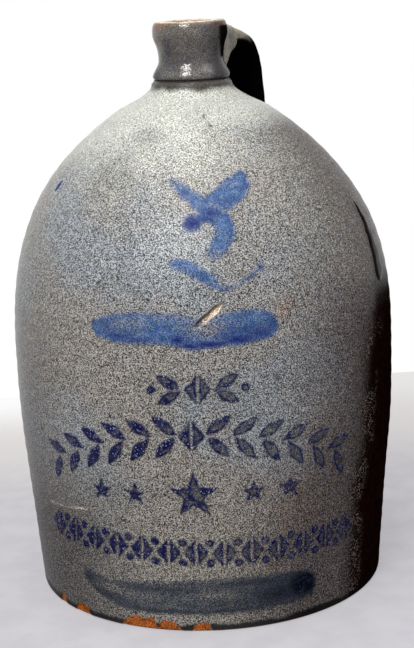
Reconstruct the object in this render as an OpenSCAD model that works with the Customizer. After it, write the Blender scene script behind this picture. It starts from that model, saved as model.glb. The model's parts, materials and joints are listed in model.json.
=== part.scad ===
// Salt-glazed stoneware jug of about three gallons, with a strap handle.
// The origin is the middle of the base, +Z is up and the handle stands at +Y.
// Azimuths are degrees from -Y towards +X.

/* [Body] */
// Height of the whole jug, from the base to the rim
jug_h = 375; // [345:1:420]
// Diameter at the widest place of the wall
belly_d = 254; // [246:1:275]
// How much narrower the foot is than the widest place
foot_taper = 19; // [10:1:36]
// Height of the widest place above the base
belly_z = 140; // [115:1:165]
// Thickness of the thrown wall
wall = 7.5; // [5:0.5:9]
// Thickness of the floor
floor_t = 12; // [8:1:16]
// Radius of the outer edge of the foot
foot_round = 2.5; // [1:0.5:5]
// Radius inside, where the floor turns up into the wall
floor_round = 14; // [8:1:22]
// Thickness of the brown slip inside
lining_t = 0.8; // [0.5:0.1:1.2]

/* [Shoulder] */
// Diameter of the ring where the dome turns into the flare under the neck
flare_d = 99; // [93:1:110]
// Height of the flare, from that ring to the collar
flare_h = 16.5; // [13:0.5:20]
// Slope of the shoulder at that ring, in degrees from level
flare_slope = 33.4; // [30:0.1:38]

/* [Neck] */
// Diameter of the collar on top of the body
collar_d = 52.8; // [51.6:0.2:58]
// Height of the collar
collar_h = 2.8; // [2.2:0.2:5]
// Height of the neck, from its seat to the rim
neck_h = 37.5; // [32:0.5:44]
// Diameter of the neck and the collar beside the groove between them
neck_root_d = 50.6; // [48:0.2:51.4]
// Width of the tooled groove
groove_w = 3; // [2:0.5:4]
// Depth of the tooled groove
groove_depth = 0.9; // [0.4:0.1:1.5]
// Diameter of the waist
waist_d = 42.4; // [40:0.2:46]
// Height of the waist above the seat
waist_h = 12.2; // [9:0.2:15]
// Diameter of the lip
lip_d = 49; // [46:0.2:52]
// Height of the lip, from its widest place to the rim
lip_h = 8.4; // [6:0.2:11]
// Diameter of the straight bore that takes the cork
bore_d = 29; // [24:0.5:31]
// Radius of the inner edge of the mouth
mouth_round = 3; // [2:0.5:4]
// Width of the level rim
rim_w = 3.6; // [2:0.2:4]
// How much wider the throat in the collar is than the bore, on each side
throat_step = 1; // [0.9:0.1:2]

/* [Handle] */
// Width of the strap
strap_w = 32; // [26:1:38]
// Thickness of the strap
strap_t = 8.6; // [7:0.2:11]
// Distance from the axis of the jug to the back of the strap
handle_reach = 85; // [80:1:92]
// Distance from the axis to where the strap lands on the shoulder
landing_r = 77; // [72:1:82]
// How far the strap's end turns in below its landing
toe_in = 4; // [0:0.5:8]
// Depth below the rim at which the strap's middle line leaves the axis
root_drop = 23; // [22:0.5:26]
// Height of the arch's pull above the root
arch_rise = 20.8; // [18:0.2:22]
// Height of the bend's pull above the root
bend_rise = 12.6; // [9:0.2:15]
// Thickness of the root inside the neck
root_t = 53; // [46:1:54]
// Width of the root inside the neck
root_w = 34; // [30:1:36]
// Width of the pressed end on the shoulder
landing_w = 42; // [38:1:48]
// Thickness of the pressed end on the shoulder
landing_t = 14; // [11:1:18]
// How far the luting coils stand out from the strap
coil_w = 7; // [5:0.5:9]
// How thin a luting coil runs out along the strap
coil_edge = 0.6; // [0.4:0.1:1]

/* [Painted numeral and swashes] */
// Thickness of the cobalt coats
coat_t = 0.35; // [0.2:0.05:0.6]
// Azimuth of the middle of the painted front
front_azimuth = 20.5; // [0:0.5:45]
// Foot of the numeral, as a share of the dome's height above the widest place
numeral_place_share = 0.464; // [0.45:0.002:0.5]
// Height of the numeral, as a share of the dome's height
numeral_size_share = 0.3577; // [0.3:0.0001:0.38]
// Width of the numeral, as a share of its height
numeral_slim_share = 0.906; // [0.75:0.001:1.02]
// How far the numeral stands to the right of the middle
numeral_shift = 13; // [0:1:20]
// Width of the brush, as a share of the numeral's height
brush_share = 0.203; // [0.15:0.001:0.23]
// Width of the upper swash
upper_swash_w = 121; // [100:1:130]
// Height of the upper swash, as a share of the dome's height
upper_swash_size_share = 0.123; // [0.09:0.001:0.135]
// Middle of the upper swash, as a share of the dome's height above the widest place
upper_swash_place_share = 0.3214; // [0.29:0.0002:0.335]
// Width of the lower swash
lower_swash_w = 160; // [140:1:170]
// Height of the lower swash
lower_swash_h = 20; // [14:1:21]
// Middle of the lower swash, as a share of the height of the widest place
lower_swash_place_share = 0.1679; // [0.14:0.0001:0.18]

/* [Stencilled ornament] */
// Middle of the sprig, as a share of the dome's height above the widest place
sprig_place_share = 0.123; // [0.11:0.001:0.15]
// Height of the sprig, as a share of the dome's height
sprig_size_share = 0.1118; // [0.09:0.0002:0.13]
// Width of the sprig
sprig_w = 64; // [56:1:72]
// How far the sprig stands to the right of the middle
sprig_shift = 5; // [0:1:8]
// Width of the leaf garland
garland_w = 214; // [190:1:225]
// Middle of the leaf garland, as a share of the height of the widest place
garland_place_share = 0.95; // [0.93:0.005:0.975]
// Fall of the garland's ends below its middle
garland_fall = 28; // [22:1:30]
// Height of the band of leaves
garland_h = 23; // [20:1:26]
// Pairs of leaves on each side of the garland
garland_pairs = 6; // [4:1:7]
// Width of the lozenge border
border_w = 226; // [200:1:235]
// Middle of the lozenge border, as a share of the height of the widest place
border_place_share = 0.3929; // [0.38:0.0001:0.4]
// Rise of the border's ends above its middle
border_rise = 3; // [1:0.5:5]
// How much lower the border's right end is than its left one
border_lean = 8; // [0:1:9]
// Height of the lozenges
border_h = 20; // [15:1:21]
// Lozenges on each side of the middle one
border_sides = 6; // [4:1:7]
// Width of the bridges in the stencil
bridge_w = 2.2; // [1.5:0.1:3]
// Row of stars, as a share of the height of the widest place
stars_place_share = 0.6714; // [0.66:0.0002:0.68]
// Radius of the large star
big_star_r = 15.5; // [12:0.5:17]
// Radius of the small stars
small_star_r = 7.5; // [5:0.5:9]
// Distance from the large star to the near small stars
near_star_gap = 37; // [32:1:40]
// Distance from the large star to the far small stars
far_star_gap = 61; // [58:1:66]

/* [Kiln marks] */
// Azimuth of the cobalt drop
drop_azimuth = -40.5; // [-46:0.5:-34]
// Middle of the cobalt drop, as a share of the dome's height above the widest place
drop_place_share = 0.76; // [0.67:0.005:0.8]
// Diameter of the cobalt drop
drop_d = 8; // [5:0.5:12]
// Azimuth of the dark kiln drip
drip_azimuth = 93.5; // [88:0.5:100]
// Start of the drip, as a share of the dome's height above the widest place
drip_place_share = 0.6596; // [0.62:0.0002:0.68]
// Length of the drip
drip_h = 58; // [45:1:66]
// Width of the drip at its foot
drip_w = 17; // [12:1:22]
// Thickness of the drip
drip_t = 1.2; // [0.8:0.1:2]

/* [Hidden] */
$fn = 128;

// Counts of steps along the curves
wall_steps = 8;
dome_steps = 18;
flare_steps = 8;
neck_steps = 6;
edge_steps = 4;
brush_steps = 12;
strap_steps = 28;
strap_sides = 24;
root_coil_steps = 7;
landing_coil_steps = 6;

// Radii and heights that follow the sizes above
base_r = (belly_d - foot_taper) / 2;
belly_r = belly_d / 2;
flare_r = flare_d / 2;
collar_r = collar_d / 2;
neck_root_r = neck_root_d / 2;
groove_r = neck_root_r - groove_depth;
waist_r = waist_d / 2;
lip_r = lip_d / 2;
bore_r = bore_d / 2;
throat_r = bore_r + throat_step;
rim_r = bore_r + mouth_round + rim_w;
seat_z = jug_h - neck_h;
collar_z = seat_z - collar_h;
flare_z = collar_z - flare_h;
dome_h = flare_z - belly_z;
waist_z = seat_z + waist_h;
lip_z = jug_h - lip_h;
overrun = 1;
probe = 2;

// Places and sizes of the painting, which follow the wall and the dome that carry it
numeral_z = belly_z + numeral_place_share * dome_h;
numeral_h = numeral_size_share * dome_h;
numeral_w = numeral_slim_share * numeral_h;
brush_w = brush_share * numeral_h;
upper_swash_z = belly_z + upper_swash_place_share * dome_h;
upper_swash_h = upper_swash_size_share * dome_h;
sprig_z = belly_z + sprig_place_share * dome_h;
sprig_h = sprig_size_share * dome_h;
garland_z = garland_place_share * belly_z;
stars_z = stars_place_share * belly_z;
border_z = border_place_share * belly_z;
lower_swash_z = lower_swash_place_share * belly_z;
drop_z = belly_z + drop_place_share * dome_h;
drip_top_z = belly_z + drip_place_share * dome_h;
drip_low_z = drip_top_z - drip_h;

// How far each curve's handles reach, as shares of the stretch that they bend
foot_lean_share = 0.65;
foot_rise_share = 0.716;
belly_under_share = 0.265;
dome_rise_share = 0.306;
dome_pull_share = 0.551;
flare_start_share = 0.3;
flare_end_share = 0.42;
root_curve_shares = [0.33, 0.33];
lip_curve_shares = [0.6, 0.25];
rim_curve_shares = [0.75, 0.6];

function bezier_point(c, t) = pow(1 - t, 3) * c[0] + 3 * t * pow(1 - t, 2) * c[1]
    + 3 * t * t * (1 - t) * c[2] + pow(t, 3) * c[3];
function bezier_slope(c, t) = 3 * pow(1 - t, 2) * (c[1] - c[0]) + 6 * t * (1 - t) * (c[2] - c[1])
    + 3 * t * t * (c[3] - c[2]);
function bezier(c, steps) = [for (i = [1:steps]) bezier_point(c, i / steps)];
function unit(v) = v / norm(v);
function outward(v) = unit([v[1], -v[0]]);
function backwards(list) = [for (i = [len(list) - 1:-1:0]) list[i]];
function arc(centre, r, from, to) =
    [for (i = [0:edge_steps]) let (a = from + (to - from) * i / edge_steps) centre + r * [cos(a), sin(a)]];

// Curves of the outer profile, as radius and height
dome_way = [-cos(flare_slope), sin(flare_slope)];
flare_ring = [flare_r, flare_z];
wall_curve = [
    [base_r, foot_round],
    [base_r + foot_lean_share * (belly_r - base_r), foot_rise_share * belly_z],
    [belly_r, (1 - belly_under_share) * belly_z],
    [belly_r, belly_z]];
dome_curve = [
    [belly_r, belly_z],
    [belly_r, belly_z + dome_rise_share * dome_h],
    flare_ring - dome_pull_share * dome_h * dome_way,
    flare_ring];
flare_curve = [
    flare_ring,
    flare_ring + flare_start_share * flare_h * dome_way,
    [collar_r, collar_z - flare_end_share * flare_h],
    [collar_r, collar_z]];
root_curve = [
    [neck_root_r, seat_z + groove_w / 2],
    [neck_root_r, seat_z + groove_w / 2 + root_curve_shares[0] * (waist_h - groove_w / 2)],
    [waist_r, waist_z - root_curve_shares[1] * (waist_h - groove_w / 2)],
    [waist_r, waist_z]];
lip_curve = [
    [waist_r, waist_z],
    [waist_r, waist_z + lip_curve_shares[0] * (lip_z - waist_z)],
    [lip_r, lip_z - lip_curve_shares[1] * (lip_z - waist_z)],
    [lip_r, lip_z]];
rim_curve = [
    [lip_r, lip_z],
    [lip_r, lip_z + rim_curve_shares[0] * lip_h],
    [rim_r + rim_curve_shares[1] * (lip_r - rim_r), jug_h],
    [rim_r, jug_h]];

body_line = concat(
    arc([base_r - foot_round, foot_round], foot_round, -90, 0),
    bezier(wall_curve, wall_steps),
    bezier(dome_curve, dome_steps),
    bezier(flare_curve, flare_steps),
    [[neck_root_r, seat_z - groove_w / 2], [groove_r, seat_z]]);
neck_line = concat(
    [[groove_r, seat_z], root_curve[0]],
    bezier(root_curve, neck_steps),
    bezier(lip_curve, neck_steps),
    bezier(rim_curve, neck_steps));

// Inner profile, a given depth inside the outer one and thicker towards the throat
function inset(c, steps, depth, end_depth) = [for (i = [1:steps]) let (t = i / steps)
    bezier_point(c, t) - (depth + (end_depth - depth) * t) * outward(bezier_slope(c, t))];
function inner_wall(depth) = concat(
    [wall_curve[0] - depth * outward(wall_curve[1] - wall_curve[0])],
    inset(wall_curve, wall_steps, depth, depth),
    inset(dome_curve, dome_steps, depth, depth),
    inset(flare_curve, flare_steps, depth, collar_r - throat_r + depth - wall),
    [[throat_r - depth + wall, seat_z]]);
function radius_on(line, z) = lookup(z, [for (p = line) [p[1], p[0]]]);
function height_on(line, r) = lookup(r, line);
function hollow(depth, low, corner) = let (
        line = inner_wall(depth),
        corner_r = radius_on(line, low + corner))
    concat(
        [[0, low]],
        arc([corner_r - corner, low + corner], corner, -90, 0),
        [for (p = line) if (p[1] > low + corner + overrun) p]);
body_hollow = hollow(wall, floor_t, floor_round);
lining_hollow = hollow(wall + lining_t, floor_t + lining_t, floor_round - lining_t);

// Outer skin of the body, with the points just past two heights, and the coats that lie on it
shoulder_line = bezier(dome_curve, dome_steps);
function skin_r(z) = radius_on(body_line, z);
function skin_out(z) = outward([skin_r(z + probe) - skin_r(z - probe), 2 * probe]);
function skin(low, high) = [for (i = [1:len(body_line) - 2])
    if (body_line[i + 1][1] > low && body_line[i - 1][1] < high) body_line[i]];
function wrapped(p) = let (r = skin_r(p[1])) [r * sin(p[0] / r * 180 / PI), p[1]];
function wrapped_all(list) = [for (p = list) wrapped(p)];

module coat(low, high, thickness, azimuth) {
    inner = skin(low, high);
    outer = [for (p = inner) p + thickness * skin_out(p[1])];
    intersection() {
        rotate_extrude()
            polygon(concat(inner, backwards(outer)));
        rotate([90, 0, azimuth])
            linear_extrude(height = belly_d)
                children();
    }
}

// A brush stroke along a curve, with the half widths that go with its steps
brush_tip_share = 0.3;
function swell(t) = brush_tip_share + (1 - brush_tip_share) * sqrt(max(0, sin(180 * t)));
function stroke_side(c, from, to, side) = [for (i = [0:brush_steps]) let (
        t = i / brush_steps,
        width = (from + (to - from) * t) * swell(t))
    bezier_point(c, t) + side * width / 2 * outward(bezier_slope(c, t))];
function stroke(c, from, to) = concat(stroke_side(c, from, to, 1), backwards(stroke_side(c, from, to, -1)));

module brush_stroke(c, from, to) {
    polygon(wrapped_all(stroke(c, from, to)));
}

// Strap handle, as a centre line in its own plane with a rounded oblong section
root_z = jug_h - root_drop;
arch_out_shares = [0.67, 1.153];
strap_sink = landing_t + coil_w;
strap_curve = [
    [0, root_z],
    [arch_out_shares[0] * handle_reach, root_z + arch_rise],
    [arch_out_shares[1] * handle_reach, root_z + bend_rise],
    [landing_r - toe_in, height_on(shoulder_line, landing_r) - strap_sink]];
root_share = 0.46;
landing_share = 0.72;
root_side_share = 0.4;
section_share = 0.7;

function root_swell(t) = pow(max(0, 1 - t / root_share), 2);
function landing_swell(t) = pow(max(0, (t - landing_share) / (1 - landing_share)), 2);
function strap_width(t) = strap_w + (root_w - strap_w) * root_swell(t)
    + (landing_w - strap_w) * landing_swell(t);
function strap_depth(t) = strap_t + (root_t - strap_t) * root_swell(t)
    + (landing_t - strap_t) * landing_swell(t);
function rounded(v) = sign(v) * pow(abs(v), section_share);
function strap_ring(t, side_gain, over_gain, under_gain) = let (
        p = bezier_point(strap_curve, t),
        across = -outward(bezier_slope(strap_curve, t)))
    [for (i = [0:strap_sides - 1]) let (
            a = 360 * i / strap_sides,
            reach = strap_depth(t) / 2 + (sin(a) > 0 ? over_gain : under_gain),
            q = p + across * reach * rounded(sin(a)))
        [(strap_width(t) / 2 + side_gain) * rounded(cos(a)), q[0], q[1]]];

function wall_faces(first, count, inside) = [for (j = [0:count - 2], i = [0:strap_sides - 1]) let (
        k = (i + 1) % strap_sides,
        a = first + j * strap_sides + i,
        b = a + strap_sides,
        c = first + (j + 1) * strap_sides + k,
        d = c - strap_sides)
    each inside ? [[a, c, b], [a, d, c]] : [[a, b, c], [a, c, d]]];

module strap_sweep() {
    rings = [for (j = [0:strap_steps]) strap_ring(j / strap_steps, 0, 0, 0)];
    polyhedron([for (ring = rings) each ring], concat(
        [[for (i = [0:strap_sides - 1]) i]],
        wall_faces(0, len(rings), false),
        [[for (i = [strap_sides - 1:-1:0]) strap_steps * strap_sides + i]]), convexity = 4);
}

// A sleeve of clay round the strap, whose inner wall is the strap's own surface
module sleeve(outer_rings, inner_rings) {
    count = len(outer_rings);
    last = (count - 1) * strap_sides;
    first_inner = count * strap_sides;
    polyhedron([for (ring = concat(outer_rings, inner_rings)) each ring], concat(
        wall_faces(0, count, false),
        wall_faces(first_inner, count, true),
        [for (i = [0:strap_sides - 1]) let (k = (i + 1) % strap_sides)
            each [[i, k, first_inner + k], [i, first_inner + k, first_inner + i]]],
        [for (i = [0:strap_sides - 1]) let (k = (i + 1) % strap_sides, a = last + i, b = last + k)
            each [[a, first_inner + b, b], [a, first_inner + a, first_inner + b]]]), convexity = 6);
}

// Everything inside the jug's outer surface, with the space over its mouth
module outer_form() {
    rotate_extrude()
        polygon(concat([[0, 0]], body_line, neck_line, [[rim_r, jug_h + root_drop], [0, jug_h + root_drop]]));
}

// Outlines of the painted numeral, as shares of its width and height
numeral_shares = [
    [[-0.34, 0.92], [-0.20, 0.60], [0.02, 0.62], [0.44, 0.96]],
    [[-0.26, 0.60], [0.06, 0.78], [0.34, 0.42], [-0.04, 0.20]],
    [[-0.40, 0.20], [-0.06, 0.18], [0.14, -0.14], [0.56, 0.14]]];
numeral_brush_shares = [[0.5, 1.25], [0.8, 1.15], [0.85, 0.4]];
numeral_margin_share = 0.62;

// Outlines of the swashes, as shares of their width and height
upper_swash_shares = [[-0.5, 0.05], [-0.44, 0.62], [0.36, 0.62], [0.5, 0.12]];
upper_swash_low_shares = [[0.5, -0.06], [0.34, -0.60], [-0.24, -0.66], [-0.5, -0.06]];
lower_swash_shares = [[-0.5, 0.44], [-0.32, 0.18], [0.30, 0.66], [0.5, 0.20]];
lower_swash_low_shares = [[0.5, -0.06], [0.44, -0.76], [-0.26, -0.84], [-0.5, 0.26]];

function sized(shares, w, h, z) = [for (s = shares) [s[0] * w, z + s[1] * h]];
function swash(top_shares, low_shares, w, h, z) = concat(
    [sized(top_shares, w, h, z)[0]],
    bezier(sized(top_shares, w, h, z), brush_steps),
    [sized(low_shares, w, h, z)[0]],
    bezier(sized(low_shares, w, h, z), brush_steps));

// Stencil shapes, as points round their own middle
leaf_steps = 6;
dot_sides = 12;
star_waist_share = 0.42;
dot_share = 0.26;
sprig_lozenge_share = 0.25;
sprig_leaf_shares = [0.26, 0.34];
sprig_leaf_place_shares = [0.28, 0.24];
sprig_dot_place_share = 0.45;
sprig_leaf_rise_share = 1.9;
sprig_leaf_angle = atan(sprig_leaf_rise_share * sprig_h / sprig_w);
garland_lozenge_share = 0.9;
garland_leaf_shares = [1.15, 0.32];
garland_leaf_place_share = 0.3;
garland_leaf_angle = 42;
border_lozenge_share = 0.86;
border_dot_place_share = 0.34;
drop_slim_share = 0.6;
drop_angle = 70;
drip_right_shares = [[0, 1], [0.2, 0.9], [0.5, 0.5], [0.5, 0.15]];
drip_left_shares = [[0, 1], [-0.1, 0.8], [-0.4, 0.4], [-0.5, 0.15]];
function leaf(l, w) = concat(
    [for (i = [0:leaf_steps]) [l * (i / leaf_steps - 0.5), w / 2 * sin(180 * i / leaf_steps)]],
    [for (i = [leaf_steps - 1:-1:1]) [l * (i / leaf_steps - 0.5), -w / 2 * sin(180 * i / leaf_steps)]]);
function half_lozenge(w, h, side) = [
    [side * bridge_w / 2, h / 2 * (1 - bridge_w / w)],
    [side * w / 2, 0],
    [side * bridge_w / 2, -h / 2 * (1 - bridge_w / w)]];
function dot(d) = [for (i = [0:dot_sides - 1]) d / 2 * [cos(360 * i / dot_sides), sin(360 * i / dot_sides)]];
function star(r) = [for (i = [0:9]) let (reach = i % 2 == 0 ? r : star_waist_share * r)
    reach * [sin(36 * i), cos(36 * i)]];
function turned(list, angle) = [for (p = list)
    [p[0] * cos(angle) - p[1] * sin(angle), p[0] * sin(angle) + p[1] * cos(angle)]];
function moved(list, x, z) = [for (p = list) p + [x, z]];

module stencil(shape, angle, x, z) {
    polygon(wrapped_all(moved(turned(shape, angle), x, z)));
}

// Garland and border run along shallow arches
function garland_line(x) = garland_z - garland_fall * pow(2 * x / garland_w, 2);
function garland_tilt(x) = atan(-8 * garland_fall * x / pow(garland_w, 2));
function border_line(x) = border_z + border_rise * pow(2 * x / border_w, 2) - border_lean * x / border_w;
function border_tilt(x) = atan((8 * border_rise * x / border_w - border_lean) / border_w);

clay = "#9a9c98";
dark_clay = "#5d5750";
brown_slip = "#4a2f1f";
cobalt = "#33508f";
navy = "#1f2c58";
glass_black = "#17181b";

module body() {
    color(clay)
        rotate_extrude()
            polygon(concat([[0, 0]], body_line, backwards(body_hollow)));
}

module slip_lining() {
    color(brown_slip)
        rotate_extrude()
            polygon(concat(body_hollow, backwards(lining_hollow)));
}

module neck() {
    color(dark_clay)
        rotate_extrude()
            polygon(concat(
                neck_line,
                backwards(arc([bore_r + mouth_round, jug_h - mouth_round], mouth_round, 180, 90)),
                [[bore_r, seat_z]]));
}

module handle() {
    color(dark_clay)
        difference() {
            strap_sweep();
            outer_form();
        }
}

// The coil wraps the sides and the underside of the root, and stays below the rim
module root_luting_coil() {
    steps = [0:root_coil_steps];
    color(dark_clay)
        difference() {
            sleeve(
                [for (j = steps) let (gain = coil_w * pow(1 - j / root_coil_steps, 2))
                    strap_ring(j / strap_steps, coil_edge + root_side_share * gain, coil_edge,
                        coil_edge + gain)],
                [for (j = steps) strap_ring(j / strap_steps, 0, 0, 0)]);
            outer_form();
        }
}

module landing_luting_coil() {
    steps = [strap_steps - landing_coil_steps:strap_steps];
    color(dark_clay)
        difference() {
            sleeve(
                [for (j = steps) let (
                        gain = coil_edge + coil_w * pow(1 - (strap_steps - j) / landing_coil_steps, 2))
                    strap_ring(j / strap_steps, gain, gain, gain)],
                [for (j = steps) strap_ring(j / strap_steps, 0, 0, 0)]);
            outer_form();
        }
}

module capacity_numeral() {
    reach = numeral_margin_share * brush_w;
    color(cobalt)
        coat(numeral_z - reach, numeral_z + numeral_h + reach, coat_t, front_azimuth)
            for (k = [0:2])
                brush_stroke(
                    moved(sized(numeral_shares[k], numeral_w, numeral_h, numeral_z), numeral_shift, 0),
                    numeral_brush_shares[k][0] * brush_w, numeral_brush_shares[k][1] * brush_w);
}

module upper_swash() {
    color(cobalt)
        coat(upper_swash_z - upper_swash_h, upper_swash_z + upper_swash_h, coat_t, front_azimuth)
            polygon(wrapped_all(swash(upper_swash_shares, upper_swash_low_shares,
                upper_swash_w, upper_swash_h, upper_swash_z)));
}

module lower_swash() {
    color(cobalt)
        coat(lower_swash_z - lower_swash_h, lower_swash_z + lower_swash_h, coat_t, front_azimuth)
            polygon(wrapped_all(swash(lower_swash_shares, lower_swash_low_shares,
                lower_swash_w, lower_swash_h, lower_swash_z)));
}

module stencil_sprig() {
    color(navy)
        coat(sprig_z - sprig_h, sprig_z + sprig_h, coat_t, front_azimuth) {
            for (side = [-1, 1]) {
                stencil(half_lozenge(sprig_lozenge_share * sprig_w, sprig_h, side), 0, sprig_shift, sprig_z);
                for (way = [-1, 1])
                    stencil(leaf(sprig_leaf_shares[0] * sprig_w, sprig_leaf_shares[1] * sprig_h),
                        side * way * sprig_leaf_angle,
                        sprig_shift + side * sprig_leaf_place_shares[0] * sprig_w,
                        sprig_z + way * sprig_leaf_place_shares[1] * sprig_h);
                stencil(dot(dot_share * sprig_h), 0,
                    sprig_shift + side * sprig_dot_place_share * sprig_w, sprig_z);
            }
        }
}

module stencil_garland() {
    step = garland_w / (2 * garland_pairs + 1);
    color(navy)
        coat(garland_z - garland_fall - garland_h, garland_z + garland_h, coat_t, front_azimuth) {
            for (side = [-1, 1]) {
                stencil(half_lozenge(step, garland_lozenge_share * garland_h, side), 0, 0, garland_z);
                for (k = [1:garland_pairs], way = [-1, 1]) {
                    x = side * k * step;
                    stencil(leaf(garland_leaf_shares[0] * step, garland_leaf_shares[1] * garland_h),
                        garland_tilt(x) + side * way * garland_leaf_angle,
                        x, garland_line(x) + way * garland_leaf_place_share * garland_h);
                }
            }
        }
}

module stencil_border() {
    step = border_w / (2 * border_sides + 1);
    color(navy)
        coat(border_z - border_lean - border_h, border_z + border_rise + border_lean + border_h,
                coat_t, front_azimuth) {
            for (k = [-border_sides:border_sides], side = [-1, 1])
                stencil(half_lozenge(border_lozenge_share * step, border_h, side), border_tilt(k * step),
                    k * step, border_line(k * step));
            for (k = [-border_sides:border_sides - 1], way = [-1, 1]) {
                x = (k + 1 / 2) * step;
                stencil(dot(dot_share * border_h), 0, x,
                    border_line(x) + way * border_dot_place_share * border_h);
            }
        }
}

module painted_star(r, x) {
    color(navy)
        coat(stars_z - r - probe, stars_z + r + probe, coat_t, front_azimuth)
            stencil(star(r), 0, x, stars_z);
}

module star_far_left() {
    painted_star(small_star_r, -far_star_gap);
}

module star_left() {
    painted_star(small_star_r, -near_star_gap);
}

module star_centre() {
    painted_star(big_star_r, 0);
}

module star_right() {
    painted_star(small_star_r, near_star_gap);
}

module star_far_right() {
    painted_star(small_star_r, far_star_gap);
}

module cobalt_drop() {
    color(cobalt)
        coat(drop_z - drop_d, drop_z + drop_d, coat_t, drop_azimuth)
            stencil(leaf(drop_d, drop_slim_share * drop_d), drop_angle, 0, drop_z);
}

module kiln_drip() {
    foot = drip_right_shares[3];
    color(glass_black)
        coat(drip_low_z - probe, drip_top_z + probe, drip_t, drip_azimuth)
            polygon(wrapped_all(concat(
                [[0, drip_top_z]],
                bezier(sized(drip_right_shares, drip_w, drip_h, drip_low_z), brush_steps),
                bezier(sized([foot, [foot[0], 0], [-foot[0], 0], [-foot[0], foot[1]]],
                    drip_w, drip_h, drip_low_z), brush_steps),
                backwards(bezier(sized(drip_left_shares, drip_w, drip_h, drip_low_z), brush_steps)))));
}

body();
neck();
handle();
root_luting_coil();
landing_luting_coil();
slip_lining();
capacity_numeral();
upper_swash();
lower_swash();
stencil_sprig();
stencil_garland();
stencil_border();
star_far_left();
star_left();
star_centre();
star_right();
star_far_right();
cobalt_drop();
kiln_drip();
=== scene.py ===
import json
import math
from functools import reduce

import bpy
import numpy as np
from mathutils import Matrix, Vector, noise

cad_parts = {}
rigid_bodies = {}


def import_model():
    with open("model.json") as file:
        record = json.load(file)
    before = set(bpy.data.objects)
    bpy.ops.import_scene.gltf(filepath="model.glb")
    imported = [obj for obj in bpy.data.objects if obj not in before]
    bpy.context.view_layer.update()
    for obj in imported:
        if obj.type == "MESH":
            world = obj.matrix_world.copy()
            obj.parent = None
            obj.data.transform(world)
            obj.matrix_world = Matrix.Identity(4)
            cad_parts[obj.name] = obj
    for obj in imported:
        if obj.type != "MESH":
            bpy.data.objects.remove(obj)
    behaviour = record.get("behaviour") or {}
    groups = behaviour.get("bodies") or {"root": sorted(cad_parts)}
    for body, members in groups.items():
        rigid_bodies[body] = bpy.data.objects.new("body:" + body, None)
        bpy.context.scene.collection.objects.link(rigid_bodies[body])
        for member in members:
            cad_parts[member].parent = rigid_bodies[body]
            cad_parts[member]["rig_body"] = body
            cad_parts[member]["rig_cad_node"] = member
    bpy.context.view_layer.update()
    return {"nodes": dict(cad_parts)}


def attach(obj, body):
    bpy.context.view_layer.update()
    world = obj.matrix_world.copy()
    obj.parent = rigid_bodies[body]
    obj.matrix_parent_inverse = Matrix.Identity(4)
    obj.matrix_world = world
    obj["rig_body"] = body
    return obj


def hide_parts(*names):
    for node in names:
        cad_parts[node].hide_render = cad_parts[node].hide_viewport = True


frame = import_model()
mm = 0.001
scene = bpy.context.scene


def aroundAxis(azimuth, radius=1.0):
    a = math.radians(azimuth)
    return radius * math.sin(a), -radius * math.cos(a)


print("camera")
cameraView = {
    "distance": 1.00703,  # metres, as the height
    "azimuth": 25.0,
    "height": 0.41455,
    "heading": 24.80055,
    "pitch": -13.5588,
    "roll": -2.3471,
    "lens": 84.632,
    "sensor": 36.0,
}


def makeCamera(view):
    bpy.ops.object.camera_add()
    cam = bpy.context.object
    place = Matrix.Translation((*aroundAxis(view["azimuth"], view["distance"]), view["height"]))
    turn = (Matrix.Rotation(math.radians(view["heading"]), 4, "Z")
            @ Matrix.Rotation(math.radians(90 + view["pitch"]), 4, "X")
            @ Matrix.Rotation(math.radians(view["roll"]), 4, "Z"))
    cam.matrix_world = place @ turn
    cam.data.lens = view["lens"]
    cam.data.sensor_width = view["sensor"]
    scene.camera = cam


makeCamera(cameraView)


# Profile curves, each four points of radius and height
wallShape = {
    "footRound": 2.5,
    "base": 117.5,
    "wall": [(117.5, 2.5), (123.675, 100.24), (127.0, 102.9), (127.0, 140.0)],
    "dome": [(127.0, 140.0), (127.0, 194.53), (131.47, 264.15), (49.5, 318.2)],
    "flare": [(49.5, 318.2), (45.37, 320.92), (26.4, 327.77), (26.4, 334.7)],
    "collar": [(25.3, 336.0), (24.4, 337.5)],
    "thickness": 7.5,
    "floor": 12.0,
    "floorRound": 14.0,
    "throat": 15.5,
    "seat": 337.5,
    "around": 288,
    "skin": 1.5,  # vertices this near the curve are on the outside
    "underside": {"height": 0.05, "marked": 60.0, "flat": 114.0},  # from and up to these radii
}


def bezierPoint(control, t):
    weights = ((1 - t) ** 3, 3 * t * (1 - t) ** 2, 3 * t * t * (1 - t), t ** 3)
    return tuple(sum(w * p[k] for w, p in zip(weights, control)) for k in (0, 1))


def curvePoints(control, steps):
    return [bezierPoint(control, i / steps) for i in range(1, steps + 1)]


def arcPoints(centre, radius, fromAngle, toAngle, steps):
    angles = [math.radians(fromAngle + (toAngle - fromAngle) * i / steps) for i in range(steps + 1)]
    return [(centre[0] + radius * math.cos(a), centre[1] + radius * math.sin(a)) for a in angles]


def outerLine(shape, steps):
    foot = (shape["base"] - shape["footRound"], shape["footRound"])
    return (arcPoints(foot, shape["footRound"], -90, 0, 5)
            + curvePoints(shape["wall"], steps[0]) + curvePoints(shape["dome"], steps[1])
            + curvePoints(shape["flare"], steps[2]) + shape["collar"])


def unitSlopes(pts):
    slope = np.gradient(pts, axis=0)
    return slope / np.linalg.norm(slope, axis=1)[:, None]


outer = outerLine(wallShape, (70, 110, 26))
lineZ = np.array([p[1] for p in outer])
lineR = np.array([p[0] for p in outer])


def wallRadius(z):
    return np.interp(z, lineZ, lineR)


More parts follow.
